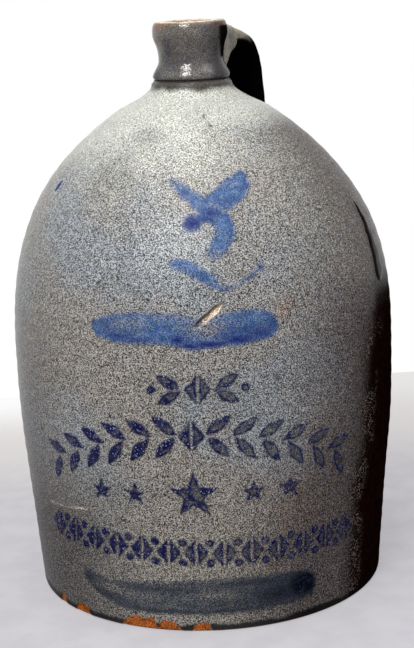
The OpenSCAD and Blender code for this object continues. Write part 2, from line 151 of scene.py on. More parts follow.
# Marks in the clay and the glaze
clayMarks = {
    "gash": {"from": (30.6, 213.2), "to": (22.6, 199.2), "halfWidth": 2.5, "depth": 2.2, "near": 30.0},
    "chips": [  # azimuth from and to, top, depth
        (-5.5, 9.0, 9.0, 1.3), (6.0, 15.2, 6.5, 1.0), (18.0, 24.5, 7.5, 0.9), (-25.5, -17.5, 6.5, 1.0),
        (-34.5, -30.5, 6.0, 0.9), (118.0, 126.0, 5.0, 0.8), (205.0, 222.0, 4.5, 0.9),
        (-95.0, -88.0, 4.0, 0.7)],
    "chipsBelow": 14.0,
    "pits": [  # azimuth, height, radius, depth
        (32.7, 317.6, 1.3, 0.8), (35.7, 312.0, 1.3, 0.7), (18.3, 217.6, 1.7, 0.9), (15.5, 218.2, 1.0, 0.5),
        (23.5, 223.1, 1.2, 0.6), (8.5, 286.4, 1.0, 0.6), (-35.0, 302.0, 1.0, 0.6), (45.0, 165.4, 1.1, 0.7),
        (46.0, 160.5, 1.0, 0.6), (-8.0, 228.0, 0.9, 0.5), (140.0, 250.0, 1.6, 0.8), (-120.0, 190.0, 1.4, 0.7),
        (232.0, 120.0, 1.5, 0.7), (70.0, 260.0, 1.0, 0.6), (-75.0, 96.0, 1.3, 0.7), (100.0, 280.0, 1.2, 0.6)],
    "blisters": [(84.5, 189.8, 3.4, 0.8), (205.0, 210.0, 3.0, 0.6)],
    "scuff": [(-33.0, 72.9), (-23.7, 74.2), (-14.5, 77.4)],  # azimuth and height along a pale scratch
    "finer": [((27.6, 207.0), (9.0, 12.0)), ((-24.0, 75.0), (11.0, 5.0))],  # middle and reach of fine mesh
    "rings": {"depth": 0.11, "spacing": 10.5},
    "waves": [(0.7, 80.0), (0.18, 24.0), (0.07, 6.5)],  # depth and span
    "noiseRadius": 120.0,
    "seatFade": (322.0, 333.0),  # the seat of the neck and the foot stay true
    "footFade": 2.2,
}


def smoothStep(low, high, value):
    t = min(1.0, max(0.0, (value - low) / (high - low)))
    return t * t * (3 - 2 * t)


def hump(value, middle, spread):
    return math.exp(-((value - middle) / spread) ** 2)


def arcGap(a, b):
    return (a - b + 180) % 360 - 180


def noiseAt(az, z, size, seed):
    x, y = aroundAxis(az, clayMarks["noiseRadius"])
    return noise.noise(Vector((x / size + seed, y / size, z / size + 3.1 * seed)))


def wavesAt(point, waves):
    return sum(size * noise.noise(Vector(point) / span) for size, span in waves)


def markAt(az, z):
    # How far the surface stands out, how bare it is and how darkened, at one place on the body
    marks = clayMarks
    perDegree = float(wallRadius(z)) * math.pi / 180

    def gapTo(place):
        return arcGap(az, place[0]) * perDegree, z - place[1]

    shift = sum(size * noiseAt(az, z, span, k + 1) for k, (size, span) in enumerate(marks["waves"]))
    ringFade = smoothStep(0, 20, z) * (1 - smoothStep(300, 325, z))
    shift += ringFade * marks["rings"]["depth"] * math.sin(
        2 * math.pi * (z + 4 * noiseAt(az, z, 90, 9)) / marks["rings"]["spacing"])
    bare = burnt = 0.0
    gash = marks["gash"]
    dx, dz = gapTo(gash["from"])
    if abs(dx) < gash["near"] and abs(dz) < gash["near"]:
        ex = arcGap(gash["to"][0], gash["from"][0]) * perDegree
        ez = gash["to"][1] - gash["from"][1]
        length = math.hypot(ex, ez)
        aside = (dx * ez - dz * ex) / length + 0.6 * noiseAt(az, z, 4, 5)
        t = (dx * ex + dz * ez) / length ** 2
        reach = gash["halfWidth"] * max(0.0, 1 - (2 * t - 1) ** 4) if 0 < t < 1 else 0.0
        if reach > 0:
            out = abs(aside) / reach
            shift -= gash["depth"] * (1 - smoothStep(0.35, 1.0, out))
            bare = (1 - smoothStep(0.75, 1.0, out)) * (1 - smoothStep(0.6, 0.85, t))
            # Painted shade: a band along one side of the gash is darkened
            burnt = smoothStep(0.25, 0.5, aside / reach) * (1 - smoothStep(0.9, 1.3, aside / reach))
    if z < marks["chipsBelow"]:
        for low, high, top, depth in marks["chips"]:
            side = abs(arcGap(az, (low + high) / 2)) / ((high - low) / 2)
            if side < 1.3:
                edge = top * (1 + 0.5 * noiseAt(az, z, 5, 7)) * max(0.0, 1 - side ** 3)
                inside = 1 - smoothStep(edge - 1.0, edge + 0.3, z)
                shift -= depth * inside
                bare = max(bare, inside)
    if abs(z - 75) < 8 and abs(arcGap(az, -24)) < 14:
        for start, end in zip(marks["scuff"], marks["scuff"][1:]):
            ex, ez = (end[0] - start[0]) * perDegree, end[1] - start[1]
            dx, dz = gapTo(start)
            t = min(1.0, max(0.0, (dx * ex + dz * ez) / (ex * ex + ez * ez)))
            gap = math.hypot(dx - t * ex, dz - t * ez)
            patchy = min(0.6, 0.12 + 1.1 * abs(noiseAt(az, z, 4, 6)))
            bare = max(bare, (1 - smoothStep(0.3, 1.1, gap)) * patchy)
    for *place, radius, depth in marks["pits"]:
        d = math.hypot(*gapTo(place)) / radius
        if d < 4:
            shift += depth * (0.25 * hump(d, 1.2, 0.3) - math.exp(-d * d * 1.4))
            burnt = max(burnt, 1 - smoothStep(0.5, 1.1, d))
    for *place, radius, height in marks["blisters"]:
        d = math.hypot(*gapTo(place)) / radius
        if d < 4:
            shift += height * (hump(d, 1.0, 0.28) - 0.6 * hump(d, 0.0, 0.6))
            burnt = max(burnt, 0.7 * hump(d, 0.65, 0.2))
    if z > marks["seatFade"][0] or z < marks["footFade"]:
        fade = (1 - smoothStep(*marks["seatFade"], z)) * smoothStep(0, marks["footFade"], z)
        shift *= fade if bare == 0 else max(fade, 0.4)
    return shift, bare, burnt


leanShape = {
    "heights": (0, 90, 190, 245, 278, 300, 326), "shifts": (0, 0.5, 0.9, 0.8, -0.3, -0.3, 0),
    "azimuth": 115.0, "tilt": 0.011}


def leanAt(z):
    # The body was thrown a little off centre, and comes back to the middle at foot and collar
    shift = float(np.interp(z, leanShape["heights"], leanShape["shifts"]))
    return aroundAxis(leanShape["azimuth"], shift)


def onBody(az, z, lift):
    # A point on the marked surface, lifted along the wall's normal, with its marks
    shift, bare, burnt = markAt(az, z)
    nr, nz = 2.0, float(wallRadius(z - 1)) - float(wallRadius(z + 1))
    out = (shift + lift) / math.hypot(nr, nz)
    x, y = aroundAxis(az, float(wallRadius(z)) + out * nr)
    lx, ly = leanAt(z)
    return (x + lx, y + ly, z + out * nz), bare, burnt


# Blender steps that every piece needs
def setMode(mode):
    bpy.ops.object.mode_set(mode=mode)


def editAll():
    setMode("EDIT")
    bpy.ops.mesh.select_all(action="SELECT")


def pick(obj, kind, chosen):
    # Selects vertices or faces and stays in edit mode
    setMode("EDIT")
    bpy.ops.mesh.select_mode(type=kind)
    bpy.ops.mesh.select_all(action="DESELECT")
    setMode("OBJECT")
    members = obj.data.polygons if kind == "FACE" else obj.data.vertices
    members.foreach_set("select", chosen)
    setMode("EDIT")


def deselectAll():
    if bpy.context.object and bpy.context.object.mode != "OBJECT":
        setMode("OBJECT")
    bpy.ops.object.select_all(action="DESELECT")


def spinProfile(name, points, steps):
    # Extrudes one vertex along the profile and turns the line round the jug's axis
    deselectAll()
    bpy.ops.mesh.primitive_plane_add(size=mm, location=(points[0][0] * mm, 0, points[0][1] * mm))
    obj = bpy.context.object
    obj.name = name
    setMode("EDIT")
    bpy.ops.mesh.select_mode(type="VERT")
    bpy.ops.mesh.select_all(action="SELECT")
    bpy.ops.mesh.merge(type="CENTER")
    for a, b in zip(points, points[1:]):
        bpy.ops.mesh.extrude_region_move(
            TRANSFORM_OT_translate={"value": ((b[0] - a[0]) * mm, 0, (b[1] - a[1]) * mm)})
    bpy.ops.mesh.select_all(action="SELECT")
    bpy.ops.mesh.spin(steps=steps, angle=2 * math.pi, center=(0, 0, 0), axis=(0, 0, 1))
    bpy.ops.mesh.select_all(action="SELECT")
    bpy.ops.mesh.remove_doubles(threshold=0.02 * mm)
    bpy.ops.mesh.normals_make_consistent(inside=False)
    setMode("OBJECT")
    bpy.ops.object.transform_apply(location=True, rotation=True, scale=True)
    return obj


def applyModifier(obj, kind, settings):
    mod = obj.modifiers.new(kind.lower(), kind)
    for key, value in settings.items():
        setattr(mod, key, value)
    bpy.ops.object.modifier_apply(modifier=mod.name)


def readPoints(obj):
    flat = np.empty(len(obj.data.vertices) * 3)
    obj.data.vertices.foreach_get("co", flat)
    return flat.reshape(-1, 3) / mm


def writePoints(obj, pts, **values):
    # Moves the vertices and keeps the named values of each on the mesh, for the materials
    obj.data.vertices.foreach_set("co", (np.asarray(pts) * mm).ravel())
    obj.data.update()
    for name, value in values.items():
        layer = obj.data.attributes.new(name, "FLOAT", "POINT")
        layer.data.foreach_set("value", np.asarray(value, dtype=np.float32))


def azimuthOf(pts):
    return np.degrees(np.arctan2(pts[:, 0], -pts[:, 1]))


def finishPiece(obj, material, node):
    deselectAll()
    obj.select_set(True)
    bpy.context.view_layer.objects.active = obj
    bpy.ops.object.shade_smooth()
    obj.data.materials.clear()
    obj.data.materials.append(material)
    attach(obj, "root")
    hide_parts(node)


# Nodes of the materials. A socket knows its own tree
def rgb(*levels):
    return tuple(((c / 255 + 0.055) / 1.055) ** 2.4 if c > 10 else c / 255 / 12.92 for c in levels) + (1.0,)


def treeOf(*values):
    return next(v.id_data for v in values if isinstance(v, bpy.types.NodeSocket))


def addNode(tree, kind, settings=None, **inputs):
    made = tree.nodes.new(kind)
    for key, value in (settings or {}).items():
        setattr(made, key, value)
    for key, value in inputs.items():
        socket = made.inputs[int(key[1:]) if key[0] == "i" and key[1:].isdigit() else key]
        if isinstance(value, bpy.types.NodeSocket):
            tree.links.new(value, socket)
        else:
            socket.default_value = value
    return made


def placeNode(tree):
    return addNode(tree, "ShaderNodeTexCoord").outputs["Object"]


def splitNode(coords):
    return addNode(coords.id_data, "ShaderNodeSeparateXYZ", None, Vector=coords).outputs


def noiseNode(coords, scale, detail=2.0, rough=0.5):
    return addNode(coords.id_data, "ShaderNodeTexNoise", None, Vector=coords, Scale=scale, Detail=detail,
                   Roughness=rough).outputs["Fac"]


def cellNode(coords, scale, output, **inputs):
    kind = {"feature": "SMOOTH_F1"} if inputs else None
    return addNode(coords.id_data, "ShaderNodeTexVoronoi", kind, Vector=coords, Scale=scale,
                   **inputs).outputs[output]


def vectorNode(way, a, b, output):
    return addNode(a.id_data, "ShaderNodeVectorMath", {"operation": way}, i0=a, i1=b).outputs[output]


def ramp(value, low, high, toLow=0.0, toHigh=1.0):
    return addNode(value.id_data, "ShaderNodeMapRange", {"interpolation_type": "SMOOTHSTEP"},
                   i0=value, i1=low, i2=high, i3=toLow, i4=toHigh).outputs[0]


def mathNode(way, a, b, clamp=False):
    return addNode(treeOf(a, b), "ShaderNodeMath", {"operation": way, "use_clamp": clamp},
                   i0=a, i1=b).outputs[0]


def times(*parts):
    return reduce(lambda a, b: mathNode("MULTIPLY", a, b), parts)


def plus(*parts):
    return reduce(lambda a, b: mathNode("ADD", a, b), parts)


def most(*parts):
    return reduce(lambda a, b: mathNode("MAXIMUM", a, b), parts)


def mixNode(factor, a, b, way="MIX"):
    return addNode(treeOf(factor, a, b), "ShaderNodeMix", {"data_type": "RGBA", "blend_type": way},
                   i0=factor, i6=a, i7=b).outputs[2]


def mixValue(factor, a, b):
    return addNode(factor.id_data, "ShaderNodeMix", {"data_type": "FLOAT"}, i0=factor, i2=a, i3=b).outputs[0]


def mixShader(factor, a, b):
    return addNode(factor.id_data, "ShaderNodeMixShader", None, i0=factor, i1=a.outputs[0], i2=b.outputs[0])


def grained(colour, grey, share=1.0):
    # The colour with the glaze's grain, in full or in part
    return mixNode(1.0, colour, grey if share == 1.0 else mixNode(share, (1, 1, 1, 1), grey), "MULTIPLY")


glazeLook = {
    "cool": rgb(114, 121, 126),
    "warm": rgb(121, 116, 107),
    "olive": rgb(116, 110, 95),
    "cream": rgb(190, 192, 181),
    "blueGrain": rgb(108, 132, 162),
    "tanGrain": rgb(168, 142, 106),
    "shoulderShade": rgb(92, 89, 78),
    "brownTint": rgb(104, 80, 63),
    "collar": rgb(64, 60, 55),
    "speck": rgb(46, 42, 38),
    "glint": rgb(206, 208, 204),
    # flashShade: the flank, flashed in the kiln and painted near black for the shade it stands in
    "flashShade": rgb(14, 7, 6),
    "bareClay": rgb(186, 100, 36),
    "gashClay": rgb(238, 218, 196),
    "floorClay": rgb(160, 120, 88),
    "burnt": rgb(40, 30, 26),
    "flankShade": rgb(44, 28, 22),
    "footShade": rgb(46, 41, 36),
    "edgeShadow": rgb(18, 15, 14),
    "spark": rgb(150, 140, 130),
    "redBurn": rgb(40, 6, 6),
    "shadedFlankAzimuth": 120.0,
    "edgeShadowAzimuth": -64.0,
    "gloss": 0.22,
    "noises": {  # scale, detail, roughness
        "broad": (11.0, 3.0, 0.5), "cloud": (42.0, 4.0, 0.6), "mottle": (260.0, 3.0, 0.6),
        "fine": (1500.0, 1.0, 0.5), "grain": (2000.0, 0.0, 0.5)},
    "where": {  # ramps on named values, multiplied: from, to, and the results there if not 0 and 1
        "warm": [("broad", 0.4, 0.62)],
        "olive": [("height", 0.13, 0.05, 0.0, 0.8)],
        "shoulderShade": [("facing", 0.2, 0.75, 0.0, 0.85), ("cream", 0.2, 0.25), ("height", 0.314, 0.303)],
        "cream": [("cream", 0.262, 0.322), ("facing", 0.6, -0.3, 0.15, 1.0)],
        "crown": [("height", 0.303, 0.317)],
        "brownTint": [("broad", 0.36, 0.6, 0.35, 1.0), ("facing", -0.1, 0.7, 0.0, 0.9),
                      ("height", 0.26, 0.1, 0.15, 1.0), ("cloud", 0.35, 0.65, 0.6, 1.0)],
        "flankShade": [("spread", 0.16, 0.8), ("height", 0.27, 0.185)],
        "highFlankShade": [("facing", 0.42, 0.95, 0.0, 0.85), ("height", 0.325, 0.303)],
        "foot": [("height", 0.13, 0.05, 0.0, 0.92), ("facing", -0.3, -0.85)],
        "left": [("height", 0.32, 0.14, 0.0, 0.5), ("facing", -0.68, -0.97)],
        "streak": [("aside", 0.972, 0.99), ("height", 0.11, 0.07, 0.0, 0.85)],
        "dot": [("grain", 0.36, 0.24, 0.0, 0.8)],
        "speck": [("pores", 0.2, 0.1, 0.0, 0.75), ("mottle", 0.52, 0.62)],
        "collar": [("edge", 0.3295, 0.3345)],
        "flashShade": [("ragged", 0.655, 0.79), ("height", 0.235, 0.185)],
        "redBurn": [("mottle", 0.42, 0.66, 0.0, 0.6)],
        "spark": [("ragged", 0.68, 0.76), ("ragged", 0.85, 0.79), ("green", 0.78, 0.9, 0.0, 0.8),
                  ("height", 0.19, 0.17), ("cloud", 0.4, 0.55)]},
    "stainsAndPaintedLight": [  # azimuth and height, reach, amount, colour
        (55.0, 76.0, 30.0, 0.55, rgb(124, 92, 60)), (60.0, 128.0, 20.0, 0.45, rgb(100, 70, 54)),
        (48.7, 207.0, 9.0, 0.32, rgb(158, 104, 58)), (28.0, 139.0, 15.0, 0.3, rgb(150, 122, 94)),
        (50.0, 42.0, 22.0, 0.5, rgb(92, 60, 42)), (14.0, 214.0, 12.0, 0.3, rgb(146, 132, 116)),
        # From (-8.0, 284.0) on: darker spots of painted shade on the shoulder, and at (18.0, 246.0) a lighter
        # patch of painted highlight
        (66.0, 28.0, 36.0, 0.75, rgb(58, 34, 24)), (-8.0, 284.0, 24.0, 0.7, rgb(114, 116, 110)),
        (0.0, 306.0, 13.0, 0.6, rgb(136, 136, 126)), (18.0, 246.0, 30.0, 0.5, rgb(152, 158, 162)),
        (25.0, 316.0, 14.0, 0.5, rgb(158, 158, 147))],
}


def glazeLayers(tree, look):
    # Colour, roughness and bump height of the salt glaze, from places on the object alone
    coords = placeNode(tree)
    made = {name: noiseNode(coords, *numbers) for name, numbers in look["noises"].items()}
    cloud, mottle, fine = made["cloud"], made["mottle"], made["fine"]
    made["height"] = height = splitNode(coords)["Z"]
    salt = addNode(tree, "ShaderNodeSeparateColor", None, Color=cellNode(coords, 1750.0, "Color")).outputs
    made["green"] = salt["Green"]
    made["pores"] = cellNode(coords, 230.0, "Distance")
    peel = cellNode(coords, 900.0, "Distance", Smoothness=0.6)
    way = vectorNode("NORMALIZE", vectorNode("MULTIPLY", coords, (1, 1, 0), 0), (0, 0, 0), 0)

    def towards(azimuth):
        return vectorNode("DOT_PRODUCT", way, (*aroundAxis(azimuth), 0), "Value")

    def clouded(value, size):
        return plus(value, times(mathNode("SUBTRACT", cloud, 0.5), size))

    def spot(name):
        return times(*(ramp(made[key], *numbers) for key, *numbers in look["where"][name]))

    def tinted(colour, name):
        return mixNode(spot(name), colour, look[name])

    made["facing"] = facing = towards(look["shadedFlankAzimuth"])
    made["aside"] = towards(look["edgeShadowAzimuth"])
    made["cream"] = clouded(height, 0.06)
    made["edge"] = clouded(height, 0.012)
    made["spread"] = plus(facing, ramp(height, 0.16, 0.04, 0.0, 0.33))
    made["ragged"] = plus(clouded(facing, 0.1), ramp(height, 0.13, 0.07, 0.0, 0.05),
                          ramp(height, 0.15, 0.205, 0.0, -0.1))
    # The shoulder shade is painted shade on the shoulder towards the shaded flank
    colour = tinted(tinted(tinted(look["cool"], "warm"), "olive"), "shoulderShade")
    # A cream glaze on the shoulder, which fades towards the shaded flank as painted shade
    creamy = most(spot("cream"), spot("crown"))
    colour = tinted(mixNode(creamy, colour, look["cream"]), "brownTint")
    # Stains, with spots of painted shade and a painted highlight among them
    for azimuth, z, reach, amount, tone in look["stainsAndPaintedLight"]:
        place = Vector((*aroundAxis(azimuth, float(wallRadius(z))), z)) * mm
        gap = plus(vectorNode("DISTANCE", coords, place, "Value"),
                   ramp(cloud, 0.3, 0.7, -0.25 * reach * mm, 0.25 * reach * mm))
        colour = mixNode(ramp(gap, reach * mm, 0.2 * reach * mm, 0.0, amount), colour, tone)
    # Painted shade: a soft brown shade round the flashed flank, and darker at the foot and on the left
    flankShade, foot, left = most(spot("flankShade"), spot("highFlankShade")), spot("foot"), spot("left")
    shadeMask = most(times(flankShade, 0.75), times(foot, 0.75), left)
    for factor, name in ((flankShade, "flankShade"), (foot, "footShade"), (left, "footShade")):
        colour = mixNode(factor, colour, look[name])
    # Painted shade: a dark streak low down on the left side
    colour = mixNode(spot("streak"), colour, look["edgeShadow"])
    # Fine mottling, iron specks and pale glints
    shade = plus(ramp(fine, 0.38, 0.62, -0.9, 1.95), ramp(mottle, 0.3, 0.7, -0.12, 0.1),
                 times(salt["Red"], 1.1))
    shade = mixValue(times(creamy, 0.45), most(shade, 0.06), 1.02)
    grey = addNode(tree, "ShaderNodeCombineColor", None, Red=shade, Green=shade, Blue=shade).outputs[0]
    colour = mixNode(0.2, colour, mixNode(salt["Blue"], look["blueGrain"], look["tanGrain"]))
    colour = grained(colour, grey)
    glints = most(ramp(salt["Green"], 0.9, 0.94, 0.0, 0.85), ramp(made["grain"], 0.66, 0.78, 0.0, 0.6))
    colour = mixNode(times(glints, ramp(shadeMask, 0.0, 0.75, 1.0, 0.4)), colour, look["glint"])
    colour = mixNode(spot("dot"), colour, look["speck"])
    colour = tinted(colour, "speck")
    # The collar darkens under the neck, and the flank is flashed and painted near black as painted shade,
    # with a ragged edge
    colour = mixNode(spot("collar"), colour, grained(look["collar"], grey))
    flashShade = spot("flashShade")
    colour = mixNode(flashShade, colour, tinted(look["flashShade"], "redBurn"))
    made["colour"] = tinted(colour, "spark")
    made["grey"] = grey
    made["burning"] = most(flashShade, shadeMask)
    made["bump"] = plus(times(peel, 0.9), times(fine, 0.8), times(mottle, 0.7))
    made["rough"] = most(ramp(fine, 0.3, 0.7, 0.36, 0.2), times(flashShade, 0.8))
    return made


def newMaterial(name):
    material = bpy.data.materials.new(name)
    material.use_nodes = True
    return material, material.node_tree.nodes["Principled BSDF"]


def meshValue(shader, name):
    return addNode(shader.id_data, "ShaderNodeAttribute", {"attribute_name": name}).outputs["Fac"]


def dullGloss(shader, burning, level):
    # Flashed places and places of painted shade hardly reflect. The plain level stays where a link is dropped
    gloss = shader.inputs["Specular IOR Level"]
    gloss.default_value = level
    shader.id_data.links.new(ramp(burning, 0.1, 0.85, level, 0.0), gloss)


def finishGlaze(shader, colour, rough, bump, strength=0.45):
    tree = shader.id_data
    relief = addNode(tree, "ShaderNodeBump", None, Strength=strength, Distance=0.5 * mm, Height=bump)
    for socket, name in ((colour, "Base Color"), (rough, "Roughness"), (relief.outputs["Normal"], "Normal")):
        tree.links.new(socket, shader.inputs[name])


def bareLayers(shader, look, layers, colour, rough):
    # Bare clay in chips and the gash, and darkened spots, with painted shade along one side of the gash, from
    # the values on the mesh
    bare = meshValue(shader, "bare")
    height, grey, mottle, cloud = (layers[key] for key in ("height", "grey", "mottle", "cloud"))
    clay = grained(mixNode(ramp(height, 0.02, 0.03), look["bareClay"], look["gashClay"]), grey, 0.5)
    clay = mixNode(ramp(mottle, 0.5, 0.66, 0.0, 0.6), clay, look["burnt"])
    colour = mixNode(bare, colour, clay)
    colour = mixNode(times(meshValue(shader, "burnt"), 0.85), colour, look["burnt"])
    # A painted shadow line round the foot
    lowEdge = plus(height, ramp(cloud, 0.35, 0.65, -1.0 * mm, 1.0 * mm))
    contactShadow = times(ramp(lowEdge, 6.6 * mm, 3.6 * mm), ramp(height, 0.2 * mm, 0.9 * mm),
                  ramp(bare, 0.0, 1.0, 0.95, 0.15))
    colour = mixNode(contactShadow, colour, look["edgeShadow"])
    under = ramp(height, 0.8 * mm, 0.3 * mm)
    floorClay = mixNode(ramp(cloud, 0.4, 0.65), look["bareClay"], look["floorClay"])
    colour = mixNode(under, colour, grained(floorClay, grey))
    return colour, mixValue(most(bare, under), rough, 0.85)


def makeSaltGlaze():
    material, shader = newMaterial("saltGlaze")
    layers = glazeLayers(shader.id_data, glazeLook)
    colour, rough = bareLayers(shader, glazeLook, layers, layers["colour"], layers["rough"])
    dullGloss(shader, layers["burning"], glazeLook["gloss"])
    finishGlaze(shader, colour, rough, layers["bump"])
    return material


def makeCobalt(name, look):
    # Cobalt under the glaze: the pigment and rim values on the mesh say how thick it is
    material, shader = newMaterial(name)
    layers = glazeLayers(shader.id_data, glazeLook)
    mottle, fine = layers["mottle"], layers["fine"]
    blue = mixNode(ramp(fine, 0.35, 0.65), look["light"], look["deep"])
    blue = mixNode(ramp(mottle, 0.42, 0.62, 0.0, look["greyShare"]), blue, look["grey"])
    blue = grained(blue, layers["grey"], 0.6)
    cover = ramp(layers["grain"], 0.3, 0.7, *look["cover"])
    colour = mixNode(mathNode("MULTIPLY", meshValue(shader, "pigment"), cover, True), layers["colour"], blue)
    pooled = mathNode("MULTIPLY", meshValue(shader, "rim"), ramp(mottle, 0.3, 0.6, 0.75, 1.05), True)
    colour = mixNode(pooled, colour, look["rim"])
    # Painted glints of light on the pooled cobalt
    glintAmount = times(ramp(layers["green"], 0.94, 0.965), pooled, look["glintAmount"])
    colour = mixNode(glintAmount, colour, look["glintColour"])
    rough = times(ramp(pooled, 0.0, 1.0, 0.36, look["poolRough"]), ramp(fine, 0.3, 0.7, 1.2, 0.8))
    colour, rough = bareLayers(shader, glazeLook, layers, colour, rough)
    dullGloss(shader, layers["burning"], look["gloss"])
    finishGlaze(shader, colour, rough, layers["bump"], look["relief"])
    return material


def makeDarkGlaze(name, look):
    # Neck and handle: darker salt glaze, worn to clay on edges, and painted black where shade and shadow are
    # painted
    material, shader = newMaterial(name)
    layers = glazeLayers(shader.id_data, glazeLook)
    height, mottle, fine = layers["height"], layers["mottle"], layers["fine"]
    colour = mixNode(ramp(layers["cloud"], 0.38, 0.62), look["dark"], look["light"])
    colour = grained(colour, layers["grey"])
    colour = mixNode(ramp(layers["grain"], 0.62, 0.74, 0.0, look["glints"]), colour, glazeLook["glint"])
    colour = mixNode(ramp(mottle, 0.52, 0.66, 0.0, 0.6), colour, look["brown"])
    worn = times(meshValue(shader, "worn"), ramp(mottle, 0.32, 0.5))
    clay = mixNode(ramp(fine, 0.4, 0.6), look["clay"], look["paleClay"])
    clay = mixNode(ramp(height, look["crownFrom"], look["crownFrom"] + 1.2 * mm), clay, look["crown"])
    colour = mixNode(worn, colour, clay)
    shadow = meshValue(shader, "burnt")
    colour = mixNode(shadow, colour, look["shadeBlack"])
    rough = times(ramp(fine, 0.3, 0.7, *look["rough"]), ramp(worn, 0.0, 1.0, 1.0, 1.9))
    dullGloss(shader, shadow, look["gloss"])
    finishGlaze(shader, colour, rough, layers["bump"], look["relief"])
    return material


def makeGlass():
    material, shader = newMaterial("kilnGlass")
    coords = placeNode(shader.id_data)
    cloud, fine = noiseNode(coords, 130.0, 3.0), noiseNode(coords, 500.0)
    colour = mixNode(ramp(cloud, 0.45, 0.7), rgb(7, 7, 8), rgb(26, 19, 15))
    shader.inputs["Specular IOR Level"].default_value = 0.035
    finishGlaze(shader, colour, ramp(fine, 0.3, 0.7, 0.08, 0.2), cloud, 0.15)
    return material


def makeSlip():
    material, shader = newMaterial("brownSlip")
    coords = placeNode(shader.id_data)
    cloud, fine = noiseNode(coords, 30.0, 4.0), noiseNode(coords, 420.0)
    colour = mixNode(ramp(cloud, 0.4, 0.65), rgb(62, 36, 22), rgb(92, 56, 34))
    colour = mixNode(ramp(fine, 0.55, 0.7, 0.0, 0.5), colour, rgb(30, 18, 12))
    finishGlaze(shader, colour, ramp(fine, 0.3, 0.7, 0.14, 0.3), fine, 0.2)
    return material


print("materials")
saltGlaze = makeSaltGlaze()
brushedCobalt = makeCobalt("brushedCobalt", {
    "light": rgb(66, 112, 158), "deep": rgb(30, 66, 130), "grey": rgb(92, 120, 138), "greyShare": 0.4,
    "rim": rgb(0, 20, 100), "cover": (0.5, 1.55), "poolRough": 0.3, "relief": 0.4, "gloss": 0.14,
    "glintAmount": 0.3, "glintColour": rgb(110, 140, 200)})
slateCobalt = makeCobalt("slateCobalt", {
    "light": rgb(58, 70, 86), "deep": rgb(28, 40, 60), "grey": rgb(74, 78, 76), "greyShare": 0.5,
    "rim": rgb(6, 14, 28), "cover": (0.5, 1.4), "poolRough": 0.22, "relief": 0.4, "gloss": 0.16,
    "glintAmount": 0.4, "glintColour": rgb(90, 98, 120)})
stencilCobalt = makeCobalt("stencilCobalt", {
    "light": rgb(66, 76, 84), "deep": rgb(26, 38, 62), "grey": rgb(84, 79, 58), "greyShare": 0.75,
    "rim": rgb(3, 4, 66), "cover": (0.45, 1.4), "poolRough": 0.1, "relief": 0.7, "gloss": 0.14,
    "glintAmount": 0.8, "glintColour": rgb(168, 178, 214)})
neckGlaze = makeDarkGlaze("neckGlaze", {
    "dark": rgb(50, 48, 52), "light": rgb(88, 84, 80), "brown": rgb(82, 66, 46), "clay": rgb(100, 58, 28),
    "paleClay": rgb(150, 106, 60), "shadeBlack": rgb(8, 6, 10), "crown": rgb(232, 222, 196), "crownFrom": 0.3736,
    "rough": (0.18, 0.08), "gloss": 0.52, "relief": 0.2, "glints": 0.3})
handleGlaze = makeDarkGlaze("handleGlaze", {
    "dark": rgb(44, 36, 25), "light": rgb(124, 118, 92), "brown": rgb(66, 46, 30), "clay": rgb(146, 112, 74),
    "paleClay": rgb(190, 182, 152), "shadeBlack": rgb(8, 6, 6), "crown": rgb(190, 182, 152), "crownFrom": 0.4,
    "rough": (0.4, 0.2), "gloss": 0.2, "relief": 0.45, "glints": 0.5})
kilnGlass = makeGlass()
brownSlip = makeSlip()


print("body")


def innerLine(shape):
    pts = np.array(outerLine(shape, (10, 20, 8))[5:-2])
    slope = unitSlopes(pts)
    line = pts - (shape["thickness"] - 0.2) * np.column_stack([slope[:, 1], -slope[:, 0]])
    low = shape["floor"] + shape["floorRound"]
    cornerR = float(np.interp(low, line[:, 1], line[:, 0]))
    made = [(0.0, shape["floor"])]
    made += arcPoints((cornerR - shape["floorRound"], low), shape["floorRound"], -90, 0, 6)
    made += [(p[0], p[1]) for p in line if p[1] > low + 2 and p[0] > shape["throat"] + 4]
    return made + [(shape["throat"], shape["seat"] - 4), (shape["throat"], shape["seat"])]


def refine(obj, cuts, keep):
    # Cuts the faces finer whose middle lies where keep says
    middles = np.empty(len(obj.data.polygons) * 3)
    obj.data.polygons.foreach_get("center", middles)
    middles = middles.reshape(-1, 3) / mm
    chosen = keep(azimuthOf(middles), middles[:, 2], np.hypot(middles[:, 0], middles[:, 1]))
    pick(obj, "FACE", chosen)
    if chosen.any():
        bpy.ops.mesh.subdivide(number_cuts=cuts)
    setMode("OBJECT")


